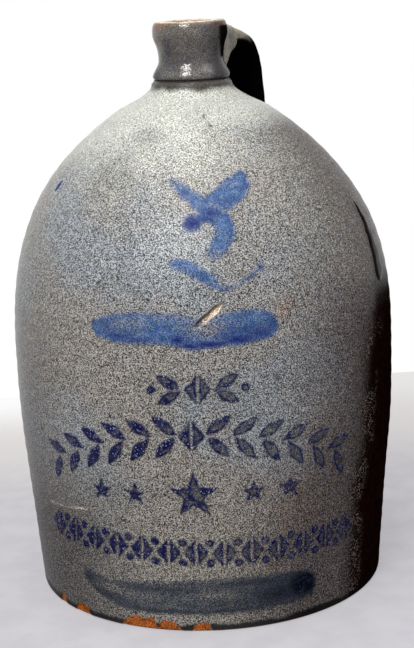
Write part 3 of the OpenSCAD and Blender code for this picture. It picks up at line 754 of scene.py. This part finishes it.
def makeBody():
    points = [(0.0, 0.0)] + outer + list(reversed(innerLine(wallShape)))
    obj = spinProfile("jugBody", points, wallShape["around"])
    for (turn, height), (wide, tall) in clayMarks["finer"]:
        refine(obj, 3, lambda az, z, r: (
            (abs(az - turn) < wide) & (abs(z - height) < tall) & (r > wallRadius(z) - 3)))
    for low, high, top, _ in clayMarks["chips"]:
        refine(obj, 2, lambda az, z, r: (
            (abs(arcGap(az, (low + high) / 2)) < (high - low) / 2 + 2)
            & (z < top + 5) & (r > wallShape["base"] - 9)))
    pts = readPoints(obj)
    az = azimuthOf(pts)
    radius = np.hypot(pts[:, 0], pts[:, 1])
    bare, burnt = np.zeros(len(pts)), np.zeros(len(pts))
    under = wallShape["underside"]
    outside = (radius > wallRadius(pts[:, 2]) - wallShape["skin"]) & (pts[:, 2] > under["height"])
    for i in np.nonzero(outside)[0]:
        inset = wallRadius(pts[i, 2]) - radius[i]
        pts[i], bare[i], burnt[i] = onBody(az[i], pts[i, 2], -inset)
    low = pts[:, 2] <= under["height"]
    for i in np.nonzero(low & (radius > under["marked"]))[0]:
        _, bare[i], burnt[i] = markAt(az[i], 0.5)
    pts[low & (radius <= under["flat"]), 2] = 0.0
    writePoints(obj, pts, bare=bare, burnt=burnt)
    finishPiece(obj, saltGlaze, "body")
    print("body triangles", sum(len(p.vertices) - 2 for p in obj.data.polygons))


makeBody()


print("neck")
neckShape = {
    "groove": (24.4, 337.5),
    "root": [(25.3, 339.0), (25.3, 342.53), (21.2, 346.17), (21.2, 349.7)],
    "lip": [(21.2, 349.7), (21.2, 359.84), (24.5, 362.375), (24.5, 366.6)],
    "rim": [(24.5, 366.6), (24.5, 372.9), (23.14, 375.0), (21.1, 375.0)],
    "mouth": ((17.5, 372.0), 3.0),
    "bore": 14.5,
    "boreDepth": 34.5,
    "around": 176,
    "waves": [(0.35, 16.0), (0.12, 5.0)],
    "front": 24.80055,  # the tilt and the painted shade lie 90 degrees on from here
}


def makeNeck(shape):
    points = [shape["groove"], shape["root"][0]]
    for part, steps in (("root", 16), ("lip", 20), ("rim", 16)):
        points += curvePoints(shape[part], steps)
    points += arcPoints(*shape["mouth"], 90, 180, 7)
    points += [(shape["bore"], shape["mouth"][0][1] - shape["boreDepth"] * i / 16) for i in range(1, 17)]
    obj = spinProfile("jugNeck", points + [shape["groove"]], shape["around"])
    pts = readPoints(obj)
    worn, burnt = np.zeros(len(pts)), np.zeros(len(pts))
    a = math.radians(shape["front"])
    for i, (x, y, z) in enumerate(pts.copy()):
        r = math.hypot(x, y)
        free = smoothStep(337.6, 341, z)
        if r > 15.2 or z > 371:
            push = wavesAt((x, y, z), shape["waves"]) * free
            pts[i, :2] += push * x / r, push * y / r
        across = x * math.cos(a) + y * math.sin(a)
        side = abs(across)
        pts[i, 2] += free * leanShape["tilt"] * across - 0.3 * smoothStep(368, 375, z)
        worn[i] = (0.9 * smoothStep(372.4, 374.4, z)
                   + 0.65 * smoothStep(365, 372, z) * smoothStep(13, 21, side))
        if r > 20:  # painted shade: dark in the groove, a black stripe of painted shadow on one side, and darker towards both sides
            burnt[i] = max(
                0.8 * hump(z, 337.5, 1.2), 0.55 * smoothStep(7, 20, across),
                0.97 * smoothStep(15.5, 20.8, across) * smoothStep(344, 353, z) * smoothStep(374, 370, z),
                0.65 * smoothStep(17, 24, side) * smoothStep(368, 362, z))
        # Painted shade: the bore darkens further down
        elif r < 15.2:
            burnt[i] = 0.9 * smoothStep(371, 360, z)
    writePoints(obj, pts, worn=worn, burnt=burnt)
    finishPiece(obj, neckGlaze, "neck")


makeNeck(neckShape)


print("handle")
strapShape = {
    "path": [(0.0, 352.0), (56.95, 372.8), (98.0, 364.6), (73.0, 276.5)],  # along Y and up
    "voxel": 1.0,
    "grooves": [(-0.36, 0.9), (0.36, 0.9), (0.0, -0.35)],  # place across, depth
    "grooveWidth": 3.4,
    "halfWidth": 16.0,
    "spread": 0.1,  # how much wider the strap was pressed on its way down
    "waves": [(0.5, 22.0), (0.2, 7.0)],
}


def copyNode(node, name, voxel, smoothing):
    # A copy of a solid, with even faces that can be shaped
    deselectAll()
    source = frame["nodes"][node]
    obj = source.copy()
    obj.data = source.data.copy()
    obj.parent = None
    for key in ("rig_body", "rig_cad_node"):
        if key in obj:
            del obj[key]
    obj.name = name
    scene.collection.objects.link(obj)
    obj.hide_render = False
    obj.hide_viewport = False
    obj.select_set(True)
    bpy.context.view_layer.objects.active = obj
    editAll()
    bpy.ops.mesh.remove_doubles(threshold=0.01 * mm)
    setMode("OBJECT")
    for kind, settings in (
            ("REMESH", {"mode": "VOXEL", "voxel_size": voxel * mm, "use_smooth_shade": True}),
            ("SMOOTH", {"factor": 0.5, "iterations": smoothing})):
        applyModifier(obj, kind, settings)
    return obj, readPoints(obj), np.array([v.normal[:] for v in obj.data.vertices])


def makeHandle(shape):
    obj, pts, normals = copyNode("handle", "strapHandle", shape["voxel"], 4)
    path = np.array([shape["path"][0]] + curvePoints(shape["path"], 120))
    slope = unitSlopes(path)
    up = np.column_stack([-slope[:, 1], slope[:, 0]])
    worn, burnt = np.zeros(len(pts)), np.zeros(len(pts))
    for i, p in enumerate(pts.copy()):
        gap = path - np.array([p[1], p[2]])
        k = int(np.argmin((gap ** 2).sum(1)))
        over = -(gap[k] @ up[k])
        across = p[0] / shape["halfWidth"]
        t = k / (len(path) - 1)
        push = wavesAt(p, shape["waves"]) * smoothStep(0.1, 0.2, t)
        if over > 1.5:
            fade = smoothStep(0.16, 0.3, t) * (1 - smoothStep(0.86, 0.98, t))
            push -= fade * sum(depth * hump((across - place) * shape["halfWidth"], 0, shape["grooveWidth"])
                               for place, depth in shape["grooves"])
        pts[i] = p + normals[i] * push
        pts[i, 0] *= 1 + shape["spread"] * smoothStep(0.3, 0.55, t)
        worn[i] = (0.75 * smoothStep(0.72, 0.95, abs(across)) * smoothStep(0.5, 3.5, over)
                   * (1 - smoothStep(0.5, 0.8, t)))
        # Painted shadow: the strap's underside and the right half of its lower part are painted black
        under = smoothStep(0.5, -2.5, over) * smoothStep(0.16, 0.26, t)
        burnt[i] = max(under, smoothStep(-2, 9, pts[i, 0]) * smoothStep(0.33, 0.5, t))
    writePoints(obj, pts, worn=worn, burnt=burnt)
    finishPiece(obj, handleGlaze, "handle")


def makeCoil(node, name, dents):
    obj, pts, normals = copyNode(node, name, dents["voxel"], 3)
    for i, p in enumerate(pts.copy()):
        pts[i] = p + normals[i] * (wavesAt(p, dents["waves"]) + dents["grow"])
    # Painted shadow: the darkened share paints the coil black towards +X
    writePoints(obj, pts, burnt=[dents["burnt"] * smoothStep(-14, -2, p[0]) for p in pts])
    finishPiece(obj, handleGlaze, node)


makeHandle(strapShape)
makeCoil("root_luting_coil", "rootCoil", {
    "voxel": 0.6, "waves": [(0.4, 8.0), (0.12, 3.0)], "grow": 0.15, "burnt": 0.0})
makeCoil("landing_luting_coil", "landingCoil", {
    "voxel": 0.7, "waves": [(0.6, 9.0), (0.12, 3.0)], "grow": 0.15, "burnt": 1.0})


print("cobalt")
coatShape = {"front": 20.5, "lift": 0.32, "sink": -0.12, "thickness": 0.5}


def shapeDistance(points, polygon):
    # Signed distance from flat points to a closed outline, negative inside
    best = np.full(len(points), 1e9)
    inside = np.zeros(len(points), bool)
    poly = np.array(polygon, float)
    for a, b in zip(poly, np.roll(poly, -1, axis=0)):
        edge = b - a
        t = np.clip(((points - a) @ edge) / max(edge @ edge, 1e-12), 0, 1)
        gap = points - a - t[:, None] * edge
        best = np.minimum(best, (gap ** 2).sum(1))
        crosses = ((a[1] > points[:, 1]) != (b[1] > points[:, 1]))
        with np.errstate(divide="ignore", invalid="ignore"):
            at = a[0] + (points[:, 1] - a[1]) * edge[0] / edge[1]
        inside ^= crosses & (points[:, 0] < at)
    distance = np.sqrt(best)
    return np.where(inside, -distance, distance)


def placed(shape, angle, x, z):
    c, s = math.cos(math.radians(angle)), math.sin(math.radians(angle))
    return [(px * c - pz * s + x, px * s + pz * c + z) for px, pz in shape]


def leafShape(length, width, steps=10):
    top = [(length * (i / steps - 0.5), width / 2 * math.sin(math.pi * i / steps)) for i in range(steps + 1)]
    return top + [(x, -y) for x, y in reversed(top[1:-1])]


def halfLozenge(width, height, side, bridge=2.2):
    tip = height / 2 * (1 - bridge / width)
    return [(side * bridge / 2, tip), (side * width / 2, 0), (side * bridge / 2, -tip)]


def dotShape(size):
    return [(size / 2 * math.cos(math.pi * i / 8), size / 2 * math.sin(math.pi * i / 8)) for i in range(16)]


def starShape(radius, waist=0.42):
    rays = [(math.radians(36 * i), waist * radius if i % 2 else radius) for i in range(10)]
    return [(r * math.sin(a), r * math.cos(a)) for a, r in rays]


def trimmedGrid(name, low, high, step, keepWhere):
    # A fine grid without the vertices outside the shapes
    size = high - low
    deselectAll()
    bpy.ops.mesh.primitive_grid_add(
        x_subdivisions=int(size[0] / step), y_subdivisions=int(size[1] / step), size=1)
    obj = bpy.context.object
    obj.name = name
    bpy.ops.transform.resize(value=(size[0] * mm, size[1] * mm, 1))
    bpy.ops.transform.translate(value=((low[0] + high[0]) / 2 * mm, (low[1] + high[1]) / 2 * mm, 0))
    bpy.ops.object.transform_apply(location=True, rotation=True, scale=True)
    flat = readPoints(obj)[:, :2]
    distance, keep = keepWhere(flat)
    pick(obj, "VERT", ~keep)
    bpy.ops.mesh.delete(type="VERT")
    bpy.ops.mesh.select_all(action="SELECT")
    bpy.ops.mesh.delete_loose(use_verts=True, use_edges=True, use_faces=False)
    setMode("OBJECT")
    where = {(round(float(x), 3), round(float(z), 3)): i for i, (x, z) in enumerate(flat)}
    order = [where[(round(float(x), 3), round(float(z), 3))] for x, z in readPoints(obj)[:, :2]]
    return obj, flat[order], distance[order]


def layCoat(name, material, node, shapes, look):
    # A fine grid, trimmed to the shapes and laid on the wall
    every = np.array([p for shape in shapes for p in shape])
    margin = look["margin"]

    def keepWhere(flat):
        distance = np.full(len(flat), 1e9)
        for shape in shapes:
            mid = np.mean(shape, axis=0)
            reach = max(np.linalg.norm(np.array(shape) - mid, axis=1)) + margin + 3
            near = np.nonzero(((flat - mid) ** 2).sum(1) < reach ** 2)[0]
            distance[near] = np.minimum(distance[near], shapeDistance(flat[near], shape))
        distance += [look["wobble"] * (noise.noise(Vector((x / 3.5, z / 3.5, 2.0)))
                                       + 0.5 * noise.noise(Vector((x, z, 5.0)))) for x, z in flat]
        return distance, distance < margin

    obj, flat, distance = trimmedGrid(
        name, every.min(0) - margin - 1, every.max(0) + margin + 1, look["step"], keepWhere)
    front = look.get("azimuth", coatShape["front"])
    pts = np.zeros((len(flat), 3))
    pigment, rim, bare, burnt = (np.zeros(len(flat)) for _ in range(4))
    for i, (x, z) in enumerate(flat):
        az = front + math.degrees(x / float(wallRadius(z)))
        pigment[i], rim[i] = look["paint"](x, z, float(distance[i]))
        full = 0.45 + 0.3 * max(pigment[i], rim[i]) + 0.25 * rim[i]
        lift = coatShape["sink"] + (coatShape["lift"] * look["thick"] - coatShape["sink"]) * (
            smoothStep(margin, -0.5, distance[i]) * full)
        pts[i], bare[i], burnt[i] = onBody(az, z, lift)
    writePoints(obj, pts, pigment=pigment, rim=rim, bare=bare, burnt=burnt)
    editAll()
    bpy.ops.mesh.normals_make_consistent(inside=False)
    setMode("OBJECT")
    if sum(v.normal.x * v.co.x + v.normal.y * v.co.y for v in obj.data.vertices) < 0:
        setMode("EDIT")
        bpy.ops.mesh.flip_normals()
        setMode("OBJECT")
    applyModifier(obj, "SOLIDIFY", {"thickness": coatShape["thickness"] * mm, "offset": -1})
    finishPiece(obj, material, node)


def stencilPaint(x, z, distance):
    # Thick dark rims on the left, an olive wash with thin outlines towards the right
    side = smoothStep(-45, 40, x + 22 * noise.noise(Vector((x / 25, z / 25, 1.0))))
    blot = min(1.0, max(0.0, 0.5 + 0.95 * noise.noise(Vector((x / 4.5, z / 4.5, 7.0)))))
    fleck = 0.5 + 0.8 * noise.noise(Vector((x / 1.6, z / 1.6, 4.0)))
    fill = (1 - smoothStep(-0.5, 0.35, distance)) * (0.95 - 0.3 * side + 0.3 * blot)
    width = 1.9 - 0.8 * side
    ridge = 1.2 * hump(distance, -0.25 - 0.3 * width, 0.6 * width)
    ridge *= 0.5 + 0.7 * blot + 0.6 * side * (fleck - 0.4)
    pool = max(0.0, 1.15 - 1.6 * side + 1.9 * (blot - 0.5) + 0.5 * side * fleck)
    pool *= 1 - smoothStep(-1.2, 0.1, distance)
    return min(1.0, fill), max(0.0, min(1.0, max(ridge, pool)))


stencilLook = {"margin": 1.1, "step": 0.62, "wobble": 0.8, "paint": stencilPaint, "thick": 2.6}
sprigShape = {"height": 20.0, "width": 64.0, "middle": (5.0, 162.0)}
garlandShape = {"width": 214.0, "middle": 133.0, "fall": 28.0, "tall": 23.0, "pairs": 6}
borderShape = {"width": 226.0, "middle": 55.0, "rise": 3.0, "lean": 8.0, "tall": 20.0, "sides": 6}
starShapes = {  # the node's word, radius and place across
    "height": 94, "step": 0.5,
    "stars": [("far_left", 7.5, -61), ("left", 7.5, -37), ("centre", 15.5, 0), ("right", 7.5, 37),
              ("far_right", 7.5, 61)]}


def layStencil(name, node, shapes, **changes):
    layCoat(name, stencilCobalt, node, shapes, dict(stencilLook, **changes))


def makeSprig(sprig):
    high, wide, (x, z) = sprig["height"], sprig["width"], sprig["middle"]
    shapes = []
    for side in (-1, 1):
        shapes.append(placed(halfLozenge(0.25 * wide, high, side), 0, x, z))
        for way in (-1, 1):
            shapes.append(placed(leafShape(0.26 * wide, 0.34 * high), side * way * 30.6,
                                 x + side * 0.28 * wide, z + way * 0.24 * high))
        shapes.append(placed(dotShape(0.26 * high), 0, x + side * 0.45 * wide, z))
    layStencil("stencilSprig", "stencil_sprig", shapes)


def makeGarland(garland):
    width, tall, fall = garland["width"], garland["tall"], garland["fall"]
    step = width / (2 * garland["pairs"] + 1)
    shapes = []
    for side in (-1, 1):
        shapes.append(placed(halfLozenge(step, 0.9 * tall, side), 0, 0, garland["middle"]))
        for k in range(1, garland["pairs"] + 1):
            x = side * k * step
            z = garland["middle"] - fall * (2 * x / width) ** 2
            tilt = math.degrees(math.atan(-8 * fall * x / width ** 2))
            for way in (-1, 1):
                shapes.append(placed(leafShape(1.15 * step, 0.32 * tall), tilt + side * way * 42,
                                     x, z + way * 0.3 * tall))
    layStencil("stencilGarland", "stencil_garland", shapes)


def makeBorder(border):
    width, tall, rise, lean, sides = (border[key] for key in ("width", "tall", "rise", "lean", "sides"))
    step = width / (2 * sides + 1)
    shapes = []

    def borderZ(x):
        return border["middle"] + rise * (2 * x / width) ** 2 - lean * x / width

    for k in range(-sides, sides + 1):
        tilt = math.degrees(math.atan((8 * rise * k * step / width - lean) / width))
        for side in (-1, 1):
            shapes.append(placed(halfLozenge(0.86 * step, tall, side), tilt, k * step, borderZ(k * step)))
    for k in range(-sides, sides):
        for way in (-1, 1):
            x = (k + 0.5) * step
            shapes.append(placed(dotShape(0.26 * tall), 0, x, borderZ(x) + way * 0.34 * tall))
    layStencil("stencilBorder", "stencil_border", shapes)


def makeStars(look):
    for word, radius, x in look["stars"]:
        name = "star" + word.title().replace("_", "")
        layStencil(name, "star_" + word, [placed(starShape(radius), 0, x, look["height"])], step=look["step"])


def strokeOutline(control, fromWidth, toWidth, steps=20):
    centre = np.array([bezierPoint(control, i / steps) for i in range(steps + 1)])
    slope = unitSlopes(centre)
    share = np.arange(steps + 1) / steps
    half = (fromWidth + (toWidth - fromWidth) * share) / 2 * (
        0.35 + 0.65 * np.maximum(0.0, np.sin(math.pi * share)) ** 0.35)
    side = np.column_stack([slope[:, 1], -slope[:, 0]]) * half[:, None]
    return [tuple(p) for p in centre + side] + [tuple(p) for p in (centre - side)[::-1]]


def roundOutline(points, steps=5):
    # A smooth closed line through the points
    made = []
    for i in range(len(points)):
        p0, p1, p2, p3 = (np.array(points[(i + k) % len(points)], float) for k in (-1, 0, 1, 2))
        for j in range(steps):
            t = j / steps
            made.append(tuple(0.5 * (2 * p1 + (p2 - p0) * t + (2 * p0 - 5 * p1 + 4 * p2 - p3) * t * t
                                     + (3 * p1 - p0 - 3 * p2 + p3) * t ** 3)))
    return made


numeralShape = {
    "strokes": [  # four points from the middle of the front and up, and the brush's width at both ends
        ([(-10, 284), (-2, 281), (4, 272), (15, 268)], (6.0, 11.0)),
        ([(7, 268), (20, 267), (30, 277), (40, 283)], (13.0, 18.0)),
        ([(6, 259.5), (9, 263), (13, 264), (19, 263)], (8.0, 9.0)),
        ([(12, 262), (29, 266), (27, 248), (14, 240)], (12.0, 14.0)),
        ([(-10, 237), (0, 238), (8, 231), (20, 223.5)], (8.0, 9.0)),
        ([(15, 225), (25, 218), (35, 225), (46, 232.5)], (6.0, 3.5))],
    "blots": [(4.6, 259.6, 13.0, 10.0), (-6.5, 282.4, 6.0, 4.0), (45.2, 232.6, 5.0, 5.0)],  # place and size
    "paint": {
        "thin": 0.4, "streak": 0.45, "cloud": 0.6, "edge": 0.3,
        "pools": [  # place, reach across and up, amount
            (4.6, 259.6, 7.5, 6.0, 1.1), (12.5, 261.0, 5.0, 2.4, 1.0), (17.0, 256.5, 1.7, 4.5, 0.9),
            (16.0, 264.8, 6.5, 2.4, 0.85), (0.5, 276.3, 4.5, 2.4, 0.55), (27.0, 270.5, 8.0, 2.0, 0.4),
            (38.0, 278.0, 5.0, 2.4, 0.4), (-6.8, 282.5, 1.8, 1.2, 0.6), (45.5, 232.5, 1.7, 1.7, 0.9)],
        "worn": [
            (-9, 281, 6, 5, 0.6), (20, 240, 9, 4.5, 0.65), (31, 223, 12, 5, 0.72), (30, 279, 4, 3, 0.4)]},
    "coat": {"margin": 2.0, "step": 0.75, "wobble": 1.0, "thick": 0.6},
}
upperSwashShape = {
    "outline": [
        (-63, 198.5), (-61, 203), (-53, 206.5), (-40, 208.5), (-24, 209.3), (-9, 208.5), (3, 206.5),
        (12, 206.5), (22, 208), (33, 209), (44, 208.5), (51.5, 206), (56, 201), (56, 195), (52, 190.5),
        (42, 188.2), (29, 187.3), (14, 186.4), (2, 185.8), (-5, 187.3), (-16, 189.2), (-28, 189.2),
        (-43, 189.2), (-55, 191.3), (-61, 194.5)],
    "paint": {
        "thin": 0.45, "streak": 0.4, "cloud": 0.45, "edge": 0.35,
        "worn": [
            (11, 199, 12, 6.5, 0.8), (6, 205, 13, 3, 0.5), (-38, 202, 13, 4.5, 0.55), (-14, 206, 10, 3, 0.4)],
        "pools": [
            (-6, 192.5, 4.5, 2.6, 1.0), (1, 188.0, 7, 2.6, 1.1), (14, 189.0, 12, 2.6, 0.95),
            (31, 191.5, 13, 3.4, 0.9), (45, 194.5, 9, 4.0, 0.75), (34, 196, 16, 4.0, 0.5),
            (53, 199, 4, 5.0, 0.55), (-43, 194, 11, 3.5, 0.6), (-30, 192, 14, 2.2, 0.45),
            (-52, 201, 6, 5, 0.35)]},
    "coat": {"margin": 2.0, "step": 0.8, "wobble": 1.0, "thick": 0.6},
}
lowerSwashShape = {
    "outline": [
        (-83, 30.0), (-80, 34.5), (-72, 34.3), (-65, 31.8), (-46, 33.0), (-28, 35.0), (-7, 36.3), (8.5, 36.8),
        (24, 37.1), (40, 37.1), (57, 36.2), (69, 35.2), (76.5, 31.4), (80, 23.5), (77.5, 17.0), (68, 13.4),
        (50, 12.2), (33, 11.4), (12, 11.3), (-4, 11.4), (-23, 11.4), (-38, 11.4), (-51, 12.2), (-60, 15.0),
        (-69, 18.8), (-77.5, 23.9)],
    "paint": {
        "thin": 0.55, "streak": 0.25, "cloud": 0.4, "edge": 0.5,
        "worn": [(-60, 26, 11, 4, 0.75), (-40, 24, 16, 3, 0.4), (10, 25, 13, 4, 0.4)],
        "pools": [
            (70, 25, 15, 11, 1.25), (50, 22, 20, 8, 0.8), (25, 19, 20, 4, 0.4), (-20, 14, 42, 1.8, 0.6),
            (20, 14, 40, 2.5, 0.6), (-78, 30, 7, 4.0, 0.45), (-66, 20.5, 12, 3.0, 0.5),
            (40, 32, 34, 2.5, 0.55), (-20, 29, 36, 1.8, 0.45), (-62, 17.5, 9, 2.5, 0.4)]},
    "coat": {"margin": 1.8, "step": 0.85, "wobble": 0.9, "thick": 0.6},
}
dropShape = {
    "size": (8.0, 4.8), "turn": 70, "height": 276, "paint": (-0.6, 0.5),
    "coat": {"margin": 0.9, "step": 0.35, "wobble": 0.25, "azimuth": -40.5, "thick": 1.0},
}
dripShape = {
    "width": 13.5, "bottom": 205.0, "tall": 53.0,
    "curves": [
        [(0, 1), (0.2, 0.9), (0.5, 0.5), (0.5, 0.15)], [(0.5, 0.15), (0.5, 0), (-0.5, 0), (-0.5, 0.15)],
        [(-0.5, 0.15), (-0.4, 0.4), (-0.1, 0.8), (0, 1)]],
    "paint": (-2.5, 0.4),
    "coat": {"margin": 0.7, "step": 0.6, "wobble": 0.5, "azimuth": 93.5, "thick": 3.4},
}


def brushPaint(control):
    def bumps(places, x, z):
        return [amount * math.exp(-((x - px) / wide) ** 2 - ((z - pz) / high) ** 2)
                for px, pz, wide, high, amount in places]

    def paint(x, z, distance):
        streak = 0.5 + 0.5 * noise.noise(Vector((x / 9, z / 2.2, 3.0)))
        cloud = 0.5 + 0.5 * noise.noise(Vector((x / 8, z / 8, 11.0)))
        inside = 1 - smoothStep(-3.0, 1.2, distance + 1.6 * (cloud - 0.5))
        strength = inside * (control["thin"] + control["streak"] * streak + control["cloud"] * cloud)
        strength *= math.prod(1 - worn for worn in bumps(control["worn"], x, z))
        edge = control["edge"] * hump(distance, -1.6, 1.3) * smoothStep(0.35, 0.75, cloud)
        edge = max(edge, inside * max(bumps(control["pools"], x, z)))
        return min(1.0, max(0.0, strength)), min(1.0, max(0.0, edge))
    return paint


def fullPaint(low, high):
    def paint(x, z, distance):
        inside = 1 - smoothStep(low, high, distance)
        return inside, inside
    return paint


def makeBrushwork(name, material, node, shape):
    shapes = [strokeOutline(points, *brush) for points, brush in shape.get("strokes", [])]
    shapes += [[(x + px * wide, z + pz * high) for px, pz in dotShape(1.0)]
               for x, z, wide, high in shape.get("blots", [])]
    if "outline" in shape:
        shapes.append(roundOutline(shape["outline"]))
    layCoat(name, material, node, shapes, dict(shape["coat"], paint=brushPaint(shape["paint"])))


def makeDrop(shape):
    layCoat("cobaltDrop", brushedCobalt, "cobalt_drop",
            [placed(leafShape(*shape["size"]), shape["turn"], 0, shape["height"])],
            dict(shape["coat"], paint=fullPaint(*shape["paint"])))


def makeDrip(shape):
    outline = [(p[0] * shape["width"], shape["bottom"] + p[1] * shape["tall"])
               for curve in shape["curves"] for p in curvePoints(curve, 16)]
    layCoat("kilnDrip", kilnGlass, "kiln_drip", [outline],
            dict(shape["coat"], paint=fullPaint(*shape["paint"])))


makeSprig(sprigShape)
makeGarland(garlandShape)
makeBorder(borderShape)
makeStars(starShapes)
makeBrushwork("capacityNumeral", brushedCobalt, "capacity_numeral", numeralShape)
makeBrushwork("upperSwash", brushedCobalt, "upper_swash", upperSwashShape)
makeBrushwork("lowerSwash", slateCobalt, "lower_swash", lowerSwashShape)
makeDrop(dropShape)
makeDrip(dripShape)

lining = frame["nodes"]["slip_lining"]
lining.data.materials.clear()
lining.data.materials.append(brownSlip)


print("stage")
stageLook = {
    "floor": rgb(208, 206, 210),
    "floorSpot": rgb(203, 200, 205),
    "floorFar": rgb(226, 222, 221),
    "floorSize": 3.0,
    "picture": (414, 648),
    "farEdge": ((8.0, 398.0), (405.0, 372.0)),  # where the photo's floor meets the backdrop
    "fade": 0.15,
    "shadowFill": 0.68,  # the camera sees the floor's shadows lighter than they fall on the jug
    "world": (0.9, 0.95, 1.0, 1.0),
    "worldStrength": 0.12,
}


def floorPoint(px, py):
    # The floor point behind one pixel of the picture
    turn = scene.camera.matrix_world
    wide, high = stageLook["picture"]
    scale = cameraView["sensor"] / high / cameraView["lens"]
    way = turn.to_3x3() @ Vector(((px - wide / 2) * scale, (high / 2 - py) * scale, -1))
    start = turn.translation
    return start - way * (start.z / way.z)


def seenNode(tree):
    # 1 for what the camera sees, straight or in a gloss
    path = addNode(tree, "ShaderNodeLightPath").outputs
    return most(path["Is Camera Ray"], most(path["Is Glossy Ray"], path["Is Transmission Ray"]))


def makeFloor(look):
    # The floor's local Y axis runs away from the camera, and its far edge fades into the white backdrop
    bpy.context.view_layer.update()
    left, right = (floorPoint(*p) for p in look["farEdge"])
    deselectAll()
    bpy.ops.mesh.primitive_plane_add(size=look["floorSize"], location=(0, 0, 0))
    floor = bpy.context.object
    floor.name = "floor"
    bpy.ops.transform.translate(value=(0, -look["floorSize"] / 2, 0))
    bpy.ops.object.transform_apply(location=True, rotation=True, scale=True)
    floor.location = (left + right) / 2
    floor.rotation_euler = (0, 0, math.atan2(right.y - left.y, right.x - left.x))
    material, shader = newMaterial("paleFloor")
    tree = shader.id_data
    coords = placeNode(tree)
    aside, away, _ = splitNode(coords)
    colour = mixNode(ramp(noiseNode(coords, 45.0, 4.0), 0.35, 0.65), look["floor"], look["floorSpot"])
    colour = mixNode(ramp(away, -0.32, -0.12), colour, look["floorFar"])
    tree.links.new(colour, shader.inputs["Base Color"])
    shader.inputs["Roughness"].default_value = 0.9
    plain = addNode(tree, "ShaderNodeEmission", None, Color=colour, Strength=1.0)
    lit = mixShader(times(seenNode(tree), look["shadowFill"]), shader, plain)
    fade = times(ramp(away, -look["fade"], -0.01), ramp(aside, -0.1, 0.16, 0.9, 0.35))
    ended = mixShader(fade, lit, addNode(tree, "ShaderNodeBsdfTransparent"))
    tree.links.new(ended.outputs[0], tree.nodes["Material Output"].inputs["Surface"])
    floor.data.materials.append(material)


def makeWorld(look):
    world = bpy.data.worlds.new("studio")
    scene.world = world
    world.use_nodes = True
    tree = world.node_tree
    background = tree.nodes["Background"]
    background.inputs["Color"].default_value = look["world"]
    background.inputs["Strength"].default_value = look["worldStrength"]
    white = addNode(tree, "ShaderNodeBackground", None, Color=(1, 1, 1, 1), Strength=1.0)
    mix = mixShader(seenNode(tree), background, white)
    tree.links.new(mix.outputs[0], tree.nodes["World Output"].inputs["Surface"])


lamps = {  # azimuth, rise and distance in metres, size in metres, power
    "key": {"from": (8.0, 47.0, 1.5), "size": 0.5, "power": 16.0},
    "top": {"from": (-20.0, 82.0, 1.5), "size": 0.6, "power": 11.0},
    "fill": {"from": (95.0, 50.0, 1.8), "size": 1.0, "power": 5.0},
}
lampTarget = Vector((0, 0, 0.22))


def makeLamps():
    for name, lamp in lamps.items():
        azimuth, rise, distance = lamp["from"]
        e = math.radians(rise)
        way = Vector((*aroundAxis(azimuth, math.cos(e)), math.sin(e)))
        bpy.ops.object.light_add(type="AREA", location=lampTarget + way * distance)
        light = bpy.context.object
        light.name = name
        light.rotation_euler = way.to_track_quat("Z", "Y").to_euler()
        light.data.shape = "DISK"
        light.data.size = lamp["size"]
        light.data.energy = lamp["power"]


makeFloor(stageLook)
makeWorld(stageLook)
makeLamps()
scene.view_settings.view_transform = "Standard"

print("done")
